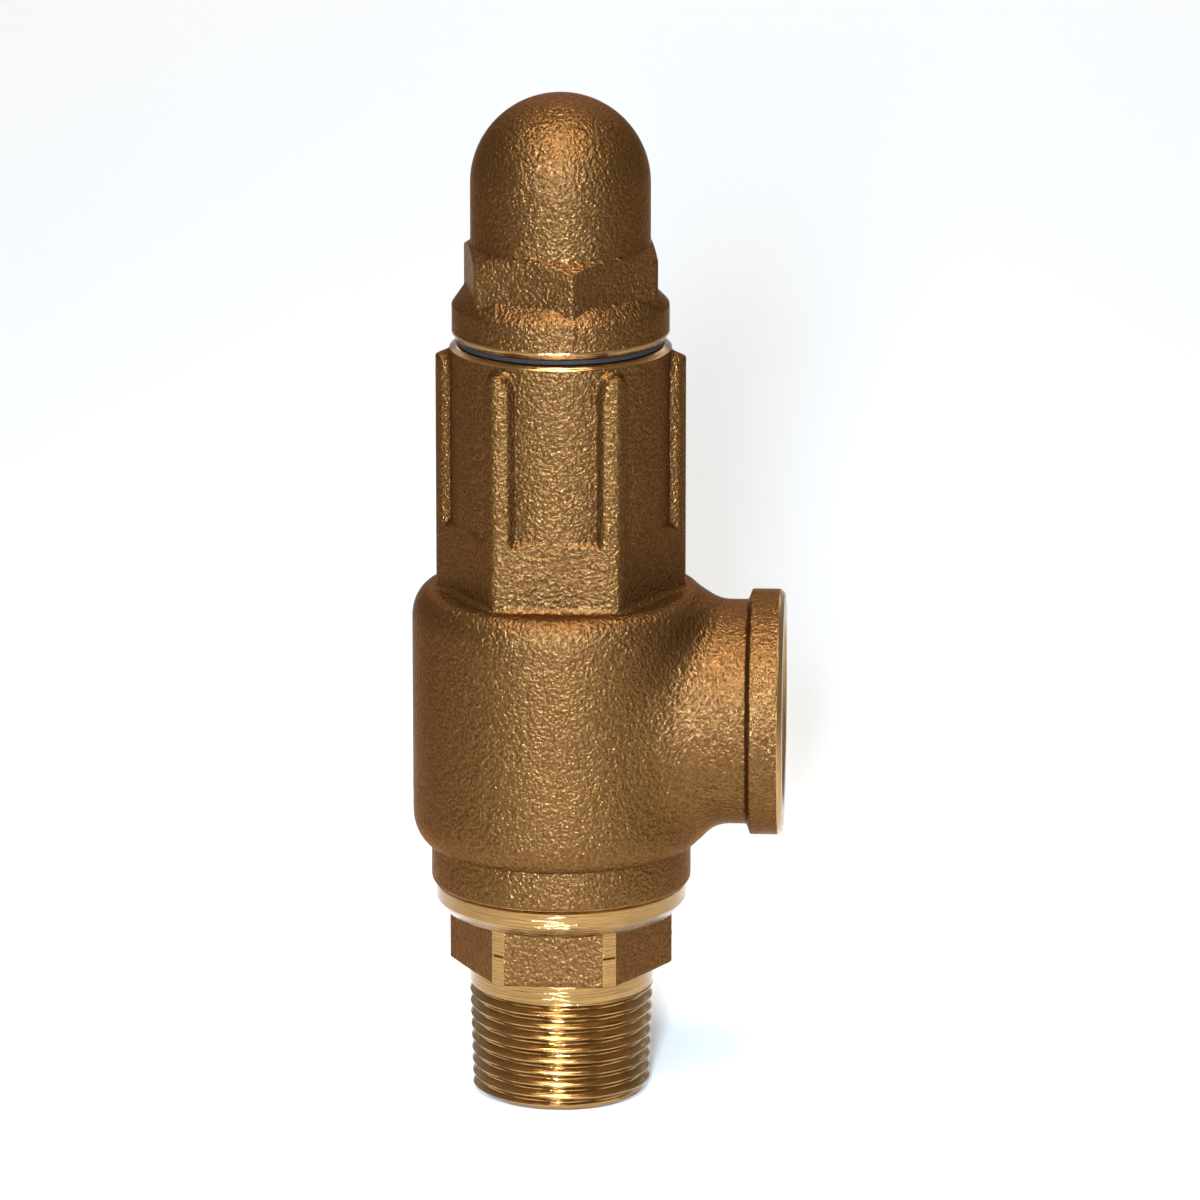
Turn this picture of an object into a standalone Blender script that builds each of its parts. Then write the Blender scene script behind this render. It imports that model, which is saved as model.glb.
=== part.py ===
"""Bronze pressure relief valve with a domed cap, as an assembly of its separate pieces.

Sizes are in millimetres and become metres when a mesh is made. The valve's axis is the Z axis, heights
are counted from the inlet's end face, and the outlet points along +X. Round pieces are profiles turned
about the axis; the castings are turned shapes joined with prisms, then bored.
"""

import math

import bmesh
import bpy
from mathutils import Matrix

MM = 0.001

# Clearances
FACE_GAP = 0.3  # between faces that touch on the real valve
GASKET_GAP = 0.1  # on each side of a thin gasket
SLIDE_GAP = 0.3  # round a piece that slides or turns in a bore, thread clearance included

# Shared by several pieces
EDGE = 0.8  # chamfer on turned edges
BEYOND = 2.0  # how far a cutter passes the faces it opens
OVERLAP = 0.5  # of two solids that are joined
CONE_STAND = 0.1  # how far a chamfering cone stands clear of the corners

# Facets round a full turn
LARGE, MEDIUM, SMALL = 36, 24, 16

# Spindle, adjusting screw, neck and cap, from the axis outwards
SPINDLE_R = 3.0
SCREW_WALL = 3.7
NECK_WALL = 5.1
CAP_WALL = 3.35
CAP_HEX_STAND = 0.36  # how far the flats of the cap's hexagon stand out from its dome
FLANGE_STAND = 0.6  # and its flange from the hexagon's corners
FLANGE_INSET = 0.24  # how far the flange lies inside the bonnet's radius
HEX_INSET = 0.44  # and the flats of the bonnet's hexagon
SHOULDER_STAND = 0.54
SHOULDER_WIDTH = 3.8
COLLAR_INSET = 3.3
RING_INSET = 0.8
COLLAR_WALL = 5.2
BODY_WALL = 4.7
CHAMBER_WALL = 4.6
PLATE_ROOM = 1.6  # between the spring plates and the chamber's wall

SCREW_R = SPINDLE_R + SLIDE_GAP + SCREW_WALL
NECK_R = SCREW_R + SLIDE_GAP + NECK_WALL
CAP_BORE_R = NECK_R + SLIDE_GAP
DOME_R = CAP_BORE_R + CAP_WALL
CAP_HEX_CORNER_R = (DOME_R + CAP_HEX_STAND) / math.cos(math.pi / 6)
FLANGE_R = CAP_HEX_CORNER_R + FLANGE_STAND
BONNET_R = FLANGE_R + FLANGE_INSET
HEX_CORNER_R = (BONNET_R - HEX_INSET) / math.cos(math.pi / 6)
SHOULDER_R = HEX_CORNER_R + SHOULDER_STAND
DRUM_R = SHOULDER_R + SHOULDER_WIDTH
CAVITY_R = DRUM_R - BODY_WALL
COLLAR_R = DRUM_R - COLLAR_INSET
CHAMBER_R = BONNET_R - CHAMBER_WALL
PLATE_R = CHAMBER_R - PLATE_ROOM

# Inlet nozzle
INLET_THREAD_LENGTH = 24.2
INLET_THREAD_END_R = 16.05
INLET_TAPER = 1 / 32  # radius gained for each millimetre of height
INLET_END_INSET = 0.95  # the end's chamfer takes this from the thread's radius
INLET_CHAMFER = 1.0
INLET_BORE_R = 11.5
NOZZLE_FLAT_STAND = 1.2  # how far the hexagon's flats stand out from the thread's root
NOZZLE_HEX_HEIGHT = 10.2
NOZZLE_LAND_INSET = 0.48  # the hexagon's corners are turned down by this
NOZZLE_HEX_TURN = -1.8  # degrees
NOZZLE_RING_HEIGHT = 5.4
NOZZLE_LIP_HEIGHT = 2.1
NOZZLE_LIP_INSET = 1.8
NOZZLE_SCREW_LENGTH = 10.6
SEAT_BORE_R = 9.0
SEAT_WALL = 2.3
SEAT_TUBE_STAND = 1.7
SEAT_TUBE_SLOPE = 1.6
SEAT_TUBE_LENGTH = 11.5
SEAT_THROAT_LENGTH = 5.0
THREAD_ROOT_R = INLET_THREAD_END_R + INLET_THREAD_LENGTH * INLET_TAPER
NOZZLE_HEX_CORNER_R = (THREAD_ROOT_R + NOZZLE_FLAT_STAND) / math.cos(math.pi / 6)
NOZZLE_RING_R = COLLAR_R - RING_INSET
NOZZLE_SCREW_R = COLLAR_R - COLLAR_WALL  # a plain cylinder in place of the thread into the body
SEAT_OUTER_R = SEAT_BORE_R + SEAT_WALL
SEAT_TUBE_R = SEAT_OUTER_R + SEAT_TUBE_STAND

# Outlet
OUTLET_BORE_R = 16.0
OUTLET_WALL = 4.2
OUTLET_BEAD_STAND = 1.9
OUTLET_BEAD_WIDTH = 6.6
OUTLET_BEAD_SLOPE = 0.7
OUTLET_BEYOND_DRUM = 13.5
OUTLET_CHAMFER = 0.8
OUTLET_MOUTH_STAND = 1.3
OUTLET_FLARE = 3.2
OUTLET_FLARE_START = 0.7  # beyond the drum, where the flare starts
OUTLET_FLARE_DEPTH = 6.2  # inside the drum, where it ends
OUTLET_ROOT_OVERLAP = 3.0
OUTLET_ABOVE_MIDDLE = 0.4  # of the drum
OUTLET_NECK_R = OUTLET_BORE_R + OUTLET_WALL
OUTLET_BEAD_R = OUTLET_NECK_R + OUTLET_BEAD_STAND
OUTLET_MOUTH_R = OUTLET_BORE_R + OUTLET_MOUTH_STAND
OUTLET_REACH = DRUM_R + OUTLET_BEYOND_DRUM  # valve axis to outlet face

# Body
COLLAR_HEIGHT = 7.4
COLLAR_EDGE = 0.8
DRUM_MARGIN = 3.3  # drum above and below the outlet's neck
DRUM_FOOT_ROUND = 5.8
DRUM_SHOULDER_ROUND = 5.4
HEX_HEIGHT = 12.0
RIB_HEIGHT = 30.9
RIB_WIDTH = 5.8
RIB_TOP_SLOPE = 3.4
BONNET_ABOVE_RIBS = 1.2
BONNET_CHAMFER = 0.8
BONNET_CHAMFER_INSET = 1.0
NECK_HEIGHT = 10.9
LOWER_BORE_DEPTH = 12.2
CHAMBER_ROOF = 2.6  # metal between the spring chamber's roof and the bonnet's top
DRUM_HEIGHT = 2 * (OUTLET_NECK_R + DRUM_MARGIN)

# Nozzle gasket, in a counterbore of the collar
GASKET_SEAT_STEP = 2.4
GASKET_SEAT_DEPTH = 1.4
GASKET_SEAT_R = NOZZLE_SCREW_R + GASKET_SEAT_STEP
CAVITY_ROOF_GAP = 0.6  # under the circlip's groove
CAVITY_ROOF_DEPTH = 4.0  # and where the roof's slope ends
CAVITY_FLOOR_DEPTH = 3.0

# Cap
CAP_SEAT = 1.0  # height of the slot that the cap's gasket fills
CAP_GASKET_INSET = 0.96
FLANGE_HEIGHT = 6.0
FLANGE_CHAMFER = 1.1
FLANGE_FOOT_INSET = 0.71
FLANGE_SLOPE = 2.7
FLANGE_TOP_INSET = 2.26
CAP_HEX_HEIGHT = 8.4
CAP_HEX_CHAMFER = 2.0
CAP_HEX_TURN = 38.9  # degrees
DOME_STRAIGHT = 10.8

# Disc, with its seal
HOLDER_WALL = 1.9
HOLDER_SKIRT = 2.2
HOLDER_BACK = 4.4
HUB_WALL = 3.0
SEAL_BEYOND_SEAT = 0.7
SEAL_THICKNESS = 2.5
SEAL_SCREW_R = 2.3
SEAL_SCREW_HEAD_R = 4.6
SEAL_SCREW_HEAD = 3.5
SEAL_SCREW_GRIP = 3.7
WASHER_INSET = 1.4  # inside the seat's bore
WASHER_THICKNESS = 1.3
WASHER_EDGE = 0.3
HOLDER_WEB = 2.0
SEAL_R = SEAT_OUTER_R + SEAL_BEYOND_SEAT
HOLDER_R = SEAL_R + SLIDE_GAP + HOLDER_WALL

# Spindle's foot, ball and rings
BALL_R = 2.5
FOOT_STAND = 1.4
FOOT_HEIGHT = 2.4
FOOT_RING_THICKNESS = 1.0
FOOT_RING_DEPTH = 0.6
FOOT_RING_MOUTH = 2.4
RING_GAP = 0.2
SPINDLE_EDGE = 0.6
SPINDLE_GROOVE = 0.6
SPINDLE_ABOVE_SCREW = 3.0
PLATE_RING_THICKNESS = 1.4
PLATE_RING_WIDTH = 2.7
HUB_TO_RING = 0.6
FOOT_R = SPINDLE_R + FOOT_STAND
HUB_BORE_R = FOOT_R + 2 * SLIDE_GAP
HUB_R = HUB_BORE_R + HUB_WALL

# Guide plate and its circlip
GUIDE_STEP = 1.3  # the guide's seat is this much wider than the spring chamber
GUIDE_THICKNESS = 3.3
GUIDE_ABOVE_SHOULDER = 1.3
CIRCLIP_THICKNESS = 1.0
CIRCLIP_DEPTH = 1.2  # how far its groove goes in
CIRCLIP_WIDTH = 2.7
CIRCLIP_MOUTH = 11.0
GUIDE_SEAT_R = CHAMBER_R + GUIDE_STEP
GUIDE_R = GUIDE_SEAT_R - SLIDE_GAP

# Spring and its plates
WIRE_R = 1.7
SPRING_INSET = 1.1  # the coil lies inside the plates' rims by this
SPRING_TURNS = 6
SPRING_POINTS = 16  # for each turn
SPRING_CLOSED_GAP = 0.25  # between the closed end turns
PLATE_THICKNESS = 3.2
PLATE_EDGE = 1.2
PLATE_BOSS = 3.0
PLATE_BOSS_GAP = 0.6
SPRING_R = PLATE_R - SPRING_INSET - WIRE_R  # middle of the wire

# Adjusting screw, lock washer and lock nut
ADJUST_TRAVEL = 1.5  # each way
SCREW_END_INSET = 1.6
SCREW_END_LENGTH = 2.0
SCREW_ABOVE_NUT = 2.0
DRIVE_INSET = 2.2
DRIVE_HEIGHT = 4.0
CAP_ROOM = 0.6  # between the nut's corners and the cap's bore
LOCK_WASHER_INSET = 1.0
LOCK_WASHER_THICKNESS = 1.5
NUT_HEIGHT = 7.0
NUT_CHAMFER = 0.8
NUT_CONE_INSET = 0.2
NUT_CORNER_R = CAP_BORE_R - CAP_ROOM

# Heights that follow from the sizes above, counted from the inlet's end face
HEX_FOOT_Z = INLET_THREAD_LENGTH
RING_FOOT_Z = HEX_FOOT_Z + NOZZLE_HEX_HEIGHT
BODY_FOOT_Z = RING_FOOT_Z + NOZZLE_RING_HEIGHT
DRUM_FOOT_Z = BODY_FOOT_Z + COLLAR_HEIGHT
SHOULDER_Z = DRUM_FOOT_Z + DRUM_HEIGHT
LEDGE_Z = SHOULDER_Z + HEX_HEIGHT
RIB_TOP_Z = LEDGE_Z + RIB_HEIGHT
BONNET_TOP_Z = RIB_TOP_Z + BONNET_ABOVE_RIBS + BONNET_CHAMFER
NECK_TOP_Z = BONNET_TOP_Z + NECK_HEIGHT
ROOF_Z = BONNET_TOP_Z - CHAMBER_ROOF
OUTLET_Z = DRUM_FOOT_Z + DRUM_HEIGHT / 2 + OUTLET_ABOVE_MIDDLE
NOZZLE_FACE_Z = BODY_FOOT_Z - FACE_GAP
SCREW_TOP_Z = NOZZLE_FACE_Z + NOZZLE_SCREW_LENGTH + FACE_GAP
SEAT_Z = SCREW_TOP_Z + SEAT_TUBE_LENGTH
CAP_FOOT_Z = BONNET_TOP_Z + CAP_SEAT
FLANGE_TOP_Z = CAP_FOOT_Z + FLANGE_HEIGHT
CAP_HEX_Z = FLANGE_TOP_Z + FLANGE_SLOPE
CAP_HEX_TOP_Z = CAP_HEX_Z + CAP_HEX_HEIGHT
DOME_Z = CAP_HEX_TOP_Z + DOME_STRAIGHT

SEAL_Z = SEAT_Z + FACE_GAP
POCKET_Z = SEAL_Z + SEAL_THICKNESS + FACE_GAP
WASHER_TOP_Z = SEAL_Z - FACE_GAP
SEAL_SCREW_HEAD_Z = WASHER_TOP_Z - WASHER_THICKNESS - FACE_GAP
SCREW_TIP_Z = POCKET_Z + SEAL_SCREW_GRIP
BALL_SEAT_Z = SCREW_TIP_Z + FACE_GAP + HOLDER_WEB
BALL_Z = BALL_SEAT_Z + FACE_GAP + BALL_R
FOOT_Z = BALL_Z + BALL_R + FACE_GAP
FOOT_TOP_Z = FOOT_Z + FOOT_HEIGHT
GUIDE_SHOULDER_Z = SHOULDER_Z + GUIDE_ABOVE_SHOULDER
GUIDE_TOP_Z = GUIDE_SHOULDER_Z - FACE_GAP
GUIDE_FOOT_Z = GUIDE_TOP_Z - GUIDE_THICKNESS
CIRCLIP_TOP_Z = GUIDE_FOOT_Z - FACE_GAP
HUB_TOP_Z = GUIDE_SHOULDER_Z
PLATE_RING_Z = HUB_TOP_Z + HUB_TO_RING
LOWER_PLATE_Z = PLATE_RING_Z + PLATE_RING_THICKNESS + FACE_GAP
SPRING_FOOT_Z = LOWER_PLATE_Z + PLATE_THICKNESS + FACE_GAP
UPPER_PLATE_TOP_Z = ROOF_Z - ADJUST_TRAVEL - FACE_GAP
UPPER_PLATE_Z = UPPER_PLATE_TOP_Z - PLATE_THICKNESS
SPRING_TOP_Z = UPPER_PLATE_Z - FACE_GAP
ADJUSTER_FOOT_Z = UPPER_PLATE_TOP_Z + FACE_GAP
LOCK_WASHER_Z = NECK_TOP_Z + FACE_GAP
NUT_Z = LOCK_WASHER_Z + LOCK_WASHER_THICKNESS + FACE_GAP
NUT_TOP_Z = NUT_Z + NUT_HEIGHT
ADJUSTER_TOP_Z = NUT_TOP_Z + SCREW_ABOVE_NUT
SPINDLE_TOP_Z = ADJUSTER_TOP_Z + DRIVE_HEIGHT + SPINDLE_ABOVE_SCREW
SCREW_BORE_R = SCREW_R + SLIDE_GAP
SPINDLE_BORE_R = SPINDLE_R + SLIDE_GAP


def clear_scene():
    for obj in list(bpy.data.objects):
        bpy.data.objects.remove(obj, do_unlink=True)


def finish(name, color, metallic, roughness):
    """A Principled material."""
    material = bpy.data.materials.new(name)
    material.use_nodes = True
    shader = material.node_tree.nodes["Principled BSDF"]
    shader.inputs["Base Color"].default_value = (*color, 1)
    shader.inputs["Metallic"].default_value = metallic
    shader.inputs["Roughness"].default_value = roughness
    material.diffuse_color = (*color, 1)
    return material


def arc(centre_r, centre_z, radius_r, radius_z, start, end, steps):
    """Points of a profile along an ellipse's arc, from one angle to another, in degrees."""
    angles = [math.radians(start + (end - start) * n / steps) for n in range(steps + 1)]
    return [(centre_r + radius_r * math.cos(a), centre_z + radius_z * math.sin(a)) for a in angles]


def place(name, mesh, material=None, parent=None):
    obj = bpy.data.objects.new(name, mesh)
    bpy.context.scene.collection.objects.link(obj)
    if material:
        mesh.materials.append(material)
    else:
        obj.hide_render = True
        obj.display_type = "WIRE"
    obj.parent = parent
    return obj


def turned(name, profile, facets, material=None, parent=None):
    """A profile of (radius, height) points turned about the Z axis.

    It runs down the outer side. One that starts and ends on the axis makes a solid, and any other
    closes on itself and makes a ring.
    """
    solid = profile[0][0] == 0 and profile[-1][0] == 0
    count = len(profile)
    edges = [(n, (n + 1) % count) for n in range(count - solid)]
    mesh = bpy.data.meshes.new(name)
    mesh.from_pydata([(r * MM, 0, z * MM) for r, z in profile], edges, [])
    obj = place(name, mesh, material, parent)
    screw = obj.modifiers.new("turn", "SCREW")
    screw.steps = screw.render_steps = facets
    screw.use_merge_vertices = True
    screw.merge_threshold = 1e-6
    screw.use_smooth_shade = facets > 6
    return obj


def bar(name, outline, start, end, turn=0):
    """An outline of (y, z) points pushed along X from start to end, then turned about Z by degrees."""
    shape = bmesh.new()
    corners = [shape.verts.new((start * MM, y * MM, z * MM)) for y, z in outline]
    face = shape.faces.new(corners)
    pushed = bmesh.ops.extrude_face_region(shape, geom=[face])["geom"]
    far = [v for v in pushed if isinstance(v, bmesh.types.BMVert)]
    bmesh.ops.translate(shape, verts=far, vec=((end - start) * MM, 0, 0))
    bmesh.ops.rotate(shape, verts=shape.verts, matrix=Matrix.Rotation(math.radians(turn), 3, "Z"))
    bmesh.ops.recalc_face_normals(shape, faces=shape.faces)
    mesh = bpy.data.meshes.new(name)
    shape.to_mesh(mesh)
    shape.free()
    return place(name, mesh)


def block(name, x, y, z):
    """A box given by its limits along each axis."""
    return bar(name, [(y[0], z[0]), (y[1], z[0]), (y[1], z[1]), (y[0], z[1])], *x)


def combine(obj, operation, *others):
    for other in others:
        step = obj.modifiers.new(f"{operation.lower()}_{other.name}", "BOOLEAN")
        step.operation = operation
        step.solver = "EXACT"
        step.object = other


def along_outlet(obj):
    """Lays a shape turned about Z along the outlet's axis instead."""
    obj.matrix_world = Matrix.Translation((0, 0, OUTLET_Z * MM)) @ Matrix.Rotation(math.pi / 2, 4, "Y")
    return obj


def make_body(bronze):
    """Collar, drum, hexagon, ribbed bonnet, neck and outlet in one casting, bored from below."""
    outer = [(0, NECK_TOP_Z), (NECK_R - EDGE, NECK_TOP_Z), (NECK_R, NECK_TOP_Z - EDGE)]
    outer += [(NECK_R, BONNET_TOP_Z), (BONNET_R - BONNET_CHAMFER_INSET, BONNET_TOP_Z)]
    outer += [(BONNET_R, BONNET_TOP_Z - BONNET_CHAMFER), (BONNET_R, SHOULDER_Z)]
    outer += arc(SHOULDER_R, SHOULDER_Z - DRUM_SHOULDER_ROUND, SHOULDER_WIDTH, DRUM_SHOULDER_ROUND, 90, 0, 4)
    outer += arc(COLLAR_R, DRUM_FOOT_Z + DRUM_FOOT_ROUND, COLLAR_INSET, DRUM_FOOT_ROUND, 0, -90, 4)
    outer += [(COLLAR_R, BODY_FOOT_Z + COLLAR_EDGE), (COLLAR_R - COLLAR_EDGE, BODY_FOOT_Z), (0, BODY_FOOT_Z)]
    body = turned("body", outer, LARGE, bronze)

    base_foot = SHOULDER_Z - DRUM_SHOULDER_ROUND
    slope_foot = RIB_TOP_Z - RIB_TOP_SLOPE
    sides = [(0, RIB_TOP_Z), (BONNET_R - HEX_INSET, RIB_TOP_Z), (HEX_CORNER_R, slope_foot)]
    hexagon = turned("bonnet_hex", sides + [(HEX_CORNER_R, base_foot), (0, base_foot)], 6)
    keep_r = HEX_CORNER_R + 2
    keep = [(0, LEDGE_Z), (keep_r, LEDGE_Z), (keep_r, base_foot - 1), (0, base_foot - 1)]
    kept = turned("hex_base", keep, MEDIUM)
    half = RIB_WIDTH / 2
    outline = arc(0, RIB_TOP_Z - half, half, half, 0, 180, 6) + [(-half, LEDGE_Z - 2), (half, LEDGE_Z - 2)]
    ribs = [bar(f"rib_{n}", outline, BONNET_R / 2, keep_r - 1, 60 * n) for n in range(6)]
    combine(kept, "UNION", *ribs)
    combine(hexagon, "INTERSECT", kept)

    bead_back = OUTLET_REACH - OUTLET_BEAD_WIDTH
    root = CHAMBER_R - OUTLET_ROOT_OVERLAP
    flare_r = OUTLET_NECK_R + OUTLET_FLARE
    boss = [(0, OUTLET_REACH), (OUTLET_BEAD_R - OUTLET_CHAMFER, OUTLET_REACH)]
    boss += [(OUTLET_BEAD_R, OUTLET_REACH - OUTLET_CHAMFER), (OUTLET_BEAD_R, bead_back + OUTLET_BEAD_SLOPE)]
    boss += [(OUTLET_NECK_R, bead_back), (OUTLET_NECK_R, DRUM_R + OUTLET_FLARE_START)]
    boss += [(flare_r, DRUM_R - OUTLET_FLARE_DEPTH), (flare_r, root), (0, root)]
    outlet = along_outlet(turned("outlet_boss", boss, LARGE))

    groove_top = CIRCLIP_TOP_Z + FACE_GAP
    groove_foot = CIRCLIP_TOP_Z - CIRCLIP_THICKNESS - FACE_GAP
    groove_r = GUIDE_SEAT_R + CIRCLIP_DEPTH
    lower_bore_r = NOZZLE_SCREW_R + SLIDE_GAP
    lower_bore_top = BODY_FOOT_Z + LOWER_BORE_DEPTH
    seat_top = BODY_FOOT_Z + GASKET_SEAT_DEPTH
    bore = [(0, NECK_TOP_Z + BEYOND), (SCREW_BORE_R, NECK_TOP_Z + BEYOND), (SCREW_BORE_R, ROOF_Z)]
    bore += [(CHAMBER_R - 1, ROOF_Z), (CHAMBER_R, ROOF_Z - 1), (CHAMBER_R, GUIDE_SHOULDER_Z)]
    bore += [(GUIDE_SEAT_R, GUIDE_SHOULDER_Z), (GUIDE_SEAT_R, groove_top), (groove_r, groove_top)]
    bore += [
        (groove_r, groove_foot), (GUIDE_SEAT_R, groove_foot),
        (GUIDE_SEAT_R, groove_foot - CAVITY_ROOF_GAP),
    ]
    bore += [
        (CAVITY_R, groove_foot - CAVITY_ROOF_DEPTH), (CAVITY_R, lower_bore_top + CAVITY_FLOOR_DEPTH),
        (lower_bore_r, lower_bore_top),
    ]
    bore += [(lower_bore_r, seat_top), (GASKET_SEAT_R, seat_top), (GASKET_SEAT_R, BODY_FOOT_Z - BEYOND)]
    main_bore = turned("main_bore", bore + [(0, BODY_FOOT_Z - BEYOND)], LARGE)
    passage = [
        (0, OUTLET_REACH + BEYOND), (OUTLET_MOUTH_R, OUTLET_REACH + BEYOND),
        (OUTLET_MOUTH_R, OUTLET_REACH),
    ]
    passage += [(OUTLET_BORE_R, OUTLET_REACH - OUTLET_MOUTH_STAND), (OUTLET_BORE_R, CHAMBER_R)]
    passage += [(0, CHAMBER_R)]
    outlet_bore = along_outlet(turned("outlet_bore", passage, LARGE))
    combine(body, "UNION", hexagon, outlet)
    combine(body, "DIFFERENCE", main_bore, outlet_bore)


def make_nozzle(brass, graphite):
    chamfer_r = INLET_THREAD_END_R + INLET_CHAMFER * INLET_TAPER
    lip_r = NOZZLE_RING_R - NOZZLE_LIP_INSET
    outer = [
        (0, SEAT_Z), (SEAT_OUTER_R, SEAT_Z), (SEAT_TUBE_R, SEAT_Z - SEAT_TUBE_SLOPE),
        (SEAT_TUBE_R, SCREW_TOP_Z),
    ]
    outer += [(NOZZLE_SCREW_R - EDGE, SCREW_TOP_Z), (NOZZLE_SCREW_R, SCREW_TOP_Z - EDGE)]
    outer += [(NOZZLE_SCREW_R, NOZZLE_FACE_Z), (NOZZLE_RING_R, NOZZLE_FACE_Z)]
    outer += [(NOZZLE_RING_R, RING_FOOT_Z + NOZZLE_LIP_HEIGHT), (lip_r, RING_FOOT_Z)]
    outer += [(THREAD_ROOT_R, RING_FOOT_Z), (THREAD_ROOT_R, HEX_FOOT_Z), (chamfer_r, INLET_CHAMFER)]
    outer += [(INLET_THREAD_END_R - INLET_END_INSET, 0), (0, 0)]
    nozzle = turned("inlet_nozzle", outer, LARGE, brass)
    corner, top = NOZZLE_HEX_CORNER_R, RING_FOOT_Z + OVERLAP
    hexagon = turned("nozzle_hex", [(0, top), (corner, top), (corner, HEX_FOOT_Z), (0, HEX_FOOT_Z)], 6)
    hexagon.rotation_euler.z = math.radians(NOZZLE_HEX_TURN)
    land_r = corner - NOZZLE_LAND_INSET
    land = [(0, top + 1), (land_r, top + 1), (land_r, HEX_FOOT_Z - 1), (0, HEX_FOOT_Z - 1)]
    combine(hexagon, "INTERSECT", turned("nozzle_lands", land, LARGE))
    bore = [(0, SEAT_Z + BEYOND), (SEAT_BORE_R, SEAT_Z + BEYOND), (SEAT_BORE_R, SEAT_Z - SEAT_THROAT_LENGTH)]
    bore += [(INLET_BORE_R, HEX_FOOT_Z), (INLET_BORE_R, -BEYOND), (0, -BEYOND)]
    combine(nozzle, "UNION", hexagon)
    combine(nozzle, "DIFFERENCE", turned("nozzle_bore", bore, LARGE))

    top, foot = BODY_FOOT_Z + GASKET_SEAT_DEPTH - GASKET_GAP, NOZZLE_FACE_Z + GASKET_GAP
    inner, outer_r = NOZZLE_SCREW_R + SLIDE_GAP, GASKET_SEAT_R - SLIDE_GAP
    turned("nozzle_gasket", [(outer_r, top), (outer_r, foot), (inner, foot), (inner, top)], LARGE, graphite)


def make_cap(bronze, rubber):
    """Dome, hexagon and flange in one casting, and the gasket that lifts off with them."""
    rise = bpy.data.objects.new("cap_rise_axis", None)
    turn = bpy.data.objects.new("cap_turn_axis", None)
    for axis in (rise, turn):
        bpy.context.scene.collection.objects.link(axis)
    turn.parent = rise
    outer = arc(0, DOME_Z, DOME_R, DOME_R, 90, 0, 9)
    outer[0] = (0, DOME_Z + DOME_R)
    outer += [(DOME_R, CAP_HEX_Z + 1), (FLANGE_R - FLANGE_TOP_INSET, CAP_HEX_Z), (FLANGE_R, FLANGE_TOP_Z)]
    outer += [(FLANGE_R, CAP_FOOT_Z + FLANGE_CHAMFER), (FLANGE_R - FLANGE_FOOT_INSET, CAP_FOOT_Z)]
    cap = turned("cap", outer + [(0, CAP_FOOT_Z)], LARGE, bronze, turn)
    foot, corner = FLANGE_TOP_Z - OVERLAP, CAP_HEX_CORNER_R
    above = CAP_HEX_TOP_Z + OVERLAP
    hexagon = turned("cap_hex", [(0, above), (corner, above), (corner, foot), (0, foot)], 6)
    hexagon.rotation_euler.z = math.radians(CAP_HEX_TURN)
    wide = corner + CONE_STAND
    cone = [(0, CAP_HEX_TOP_Z), (DOME_R - CONE_STAND, CAP_HEX_TOP_Z)]
    cone += [(wide, CAP_HEX_TOP_Z - CAP_HEX_CHAMFER)]
    cone += [(wide, foot - OVERLAP), (0, foot - OVERLAP)]
    combine(hexagon, "INTERSECT", turned("cap_hex_cone", cone, LARGE))
    bore = arc(0, DOME_Z, CAP_BORE_R, CAP_BORE_R, 90, 0, 6)
    bore[0] = (0, DOME_Z + CAP_BORE_R)
    bore += [(CAP_BORE_R, CAP_FOOT_Z - BEYOND), (0, CAP_FOOT_Z - BEYOND)]
    combine(cap, "UNION", hexagon)
    combine(cap, "DIFFERENCE", turned("cap_bore", bore, MEDIUM))

    inner, outer_r = NECK_R + SLIDE_GAP, FLANGE_R - CAP_GASKET_INSET
    top, foot = CAP_FOOT_Z - GASKET_GAP, BONNET_TOP_Z + GASKET_GAP
    turned("cap_gasket", [(outer_r, top), (outer_r, foot), (inner, foot), (inner, top)], LARGE, rubber, rise)


def split_ring(name, inner, outer, foot, thickness, mouth, facets, material, parent=None):
    """A flat ring with a mouth cut through it towards -Y."""
    top = foot + thickness
    ring = turned(name, [(outer, top), (outer, foot), (inner, foot), (inner, top)], facets, material, parent)
    cutter = block(
        f"{name}_mouth", (-mouth / 2, mouth / 2), (-outer - BEYOND, 0),
        (foot - BEYOND, top + BEYOND),
    )
    combine(ring, "DIFFERENCE", cutter)
    return ring


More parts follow.
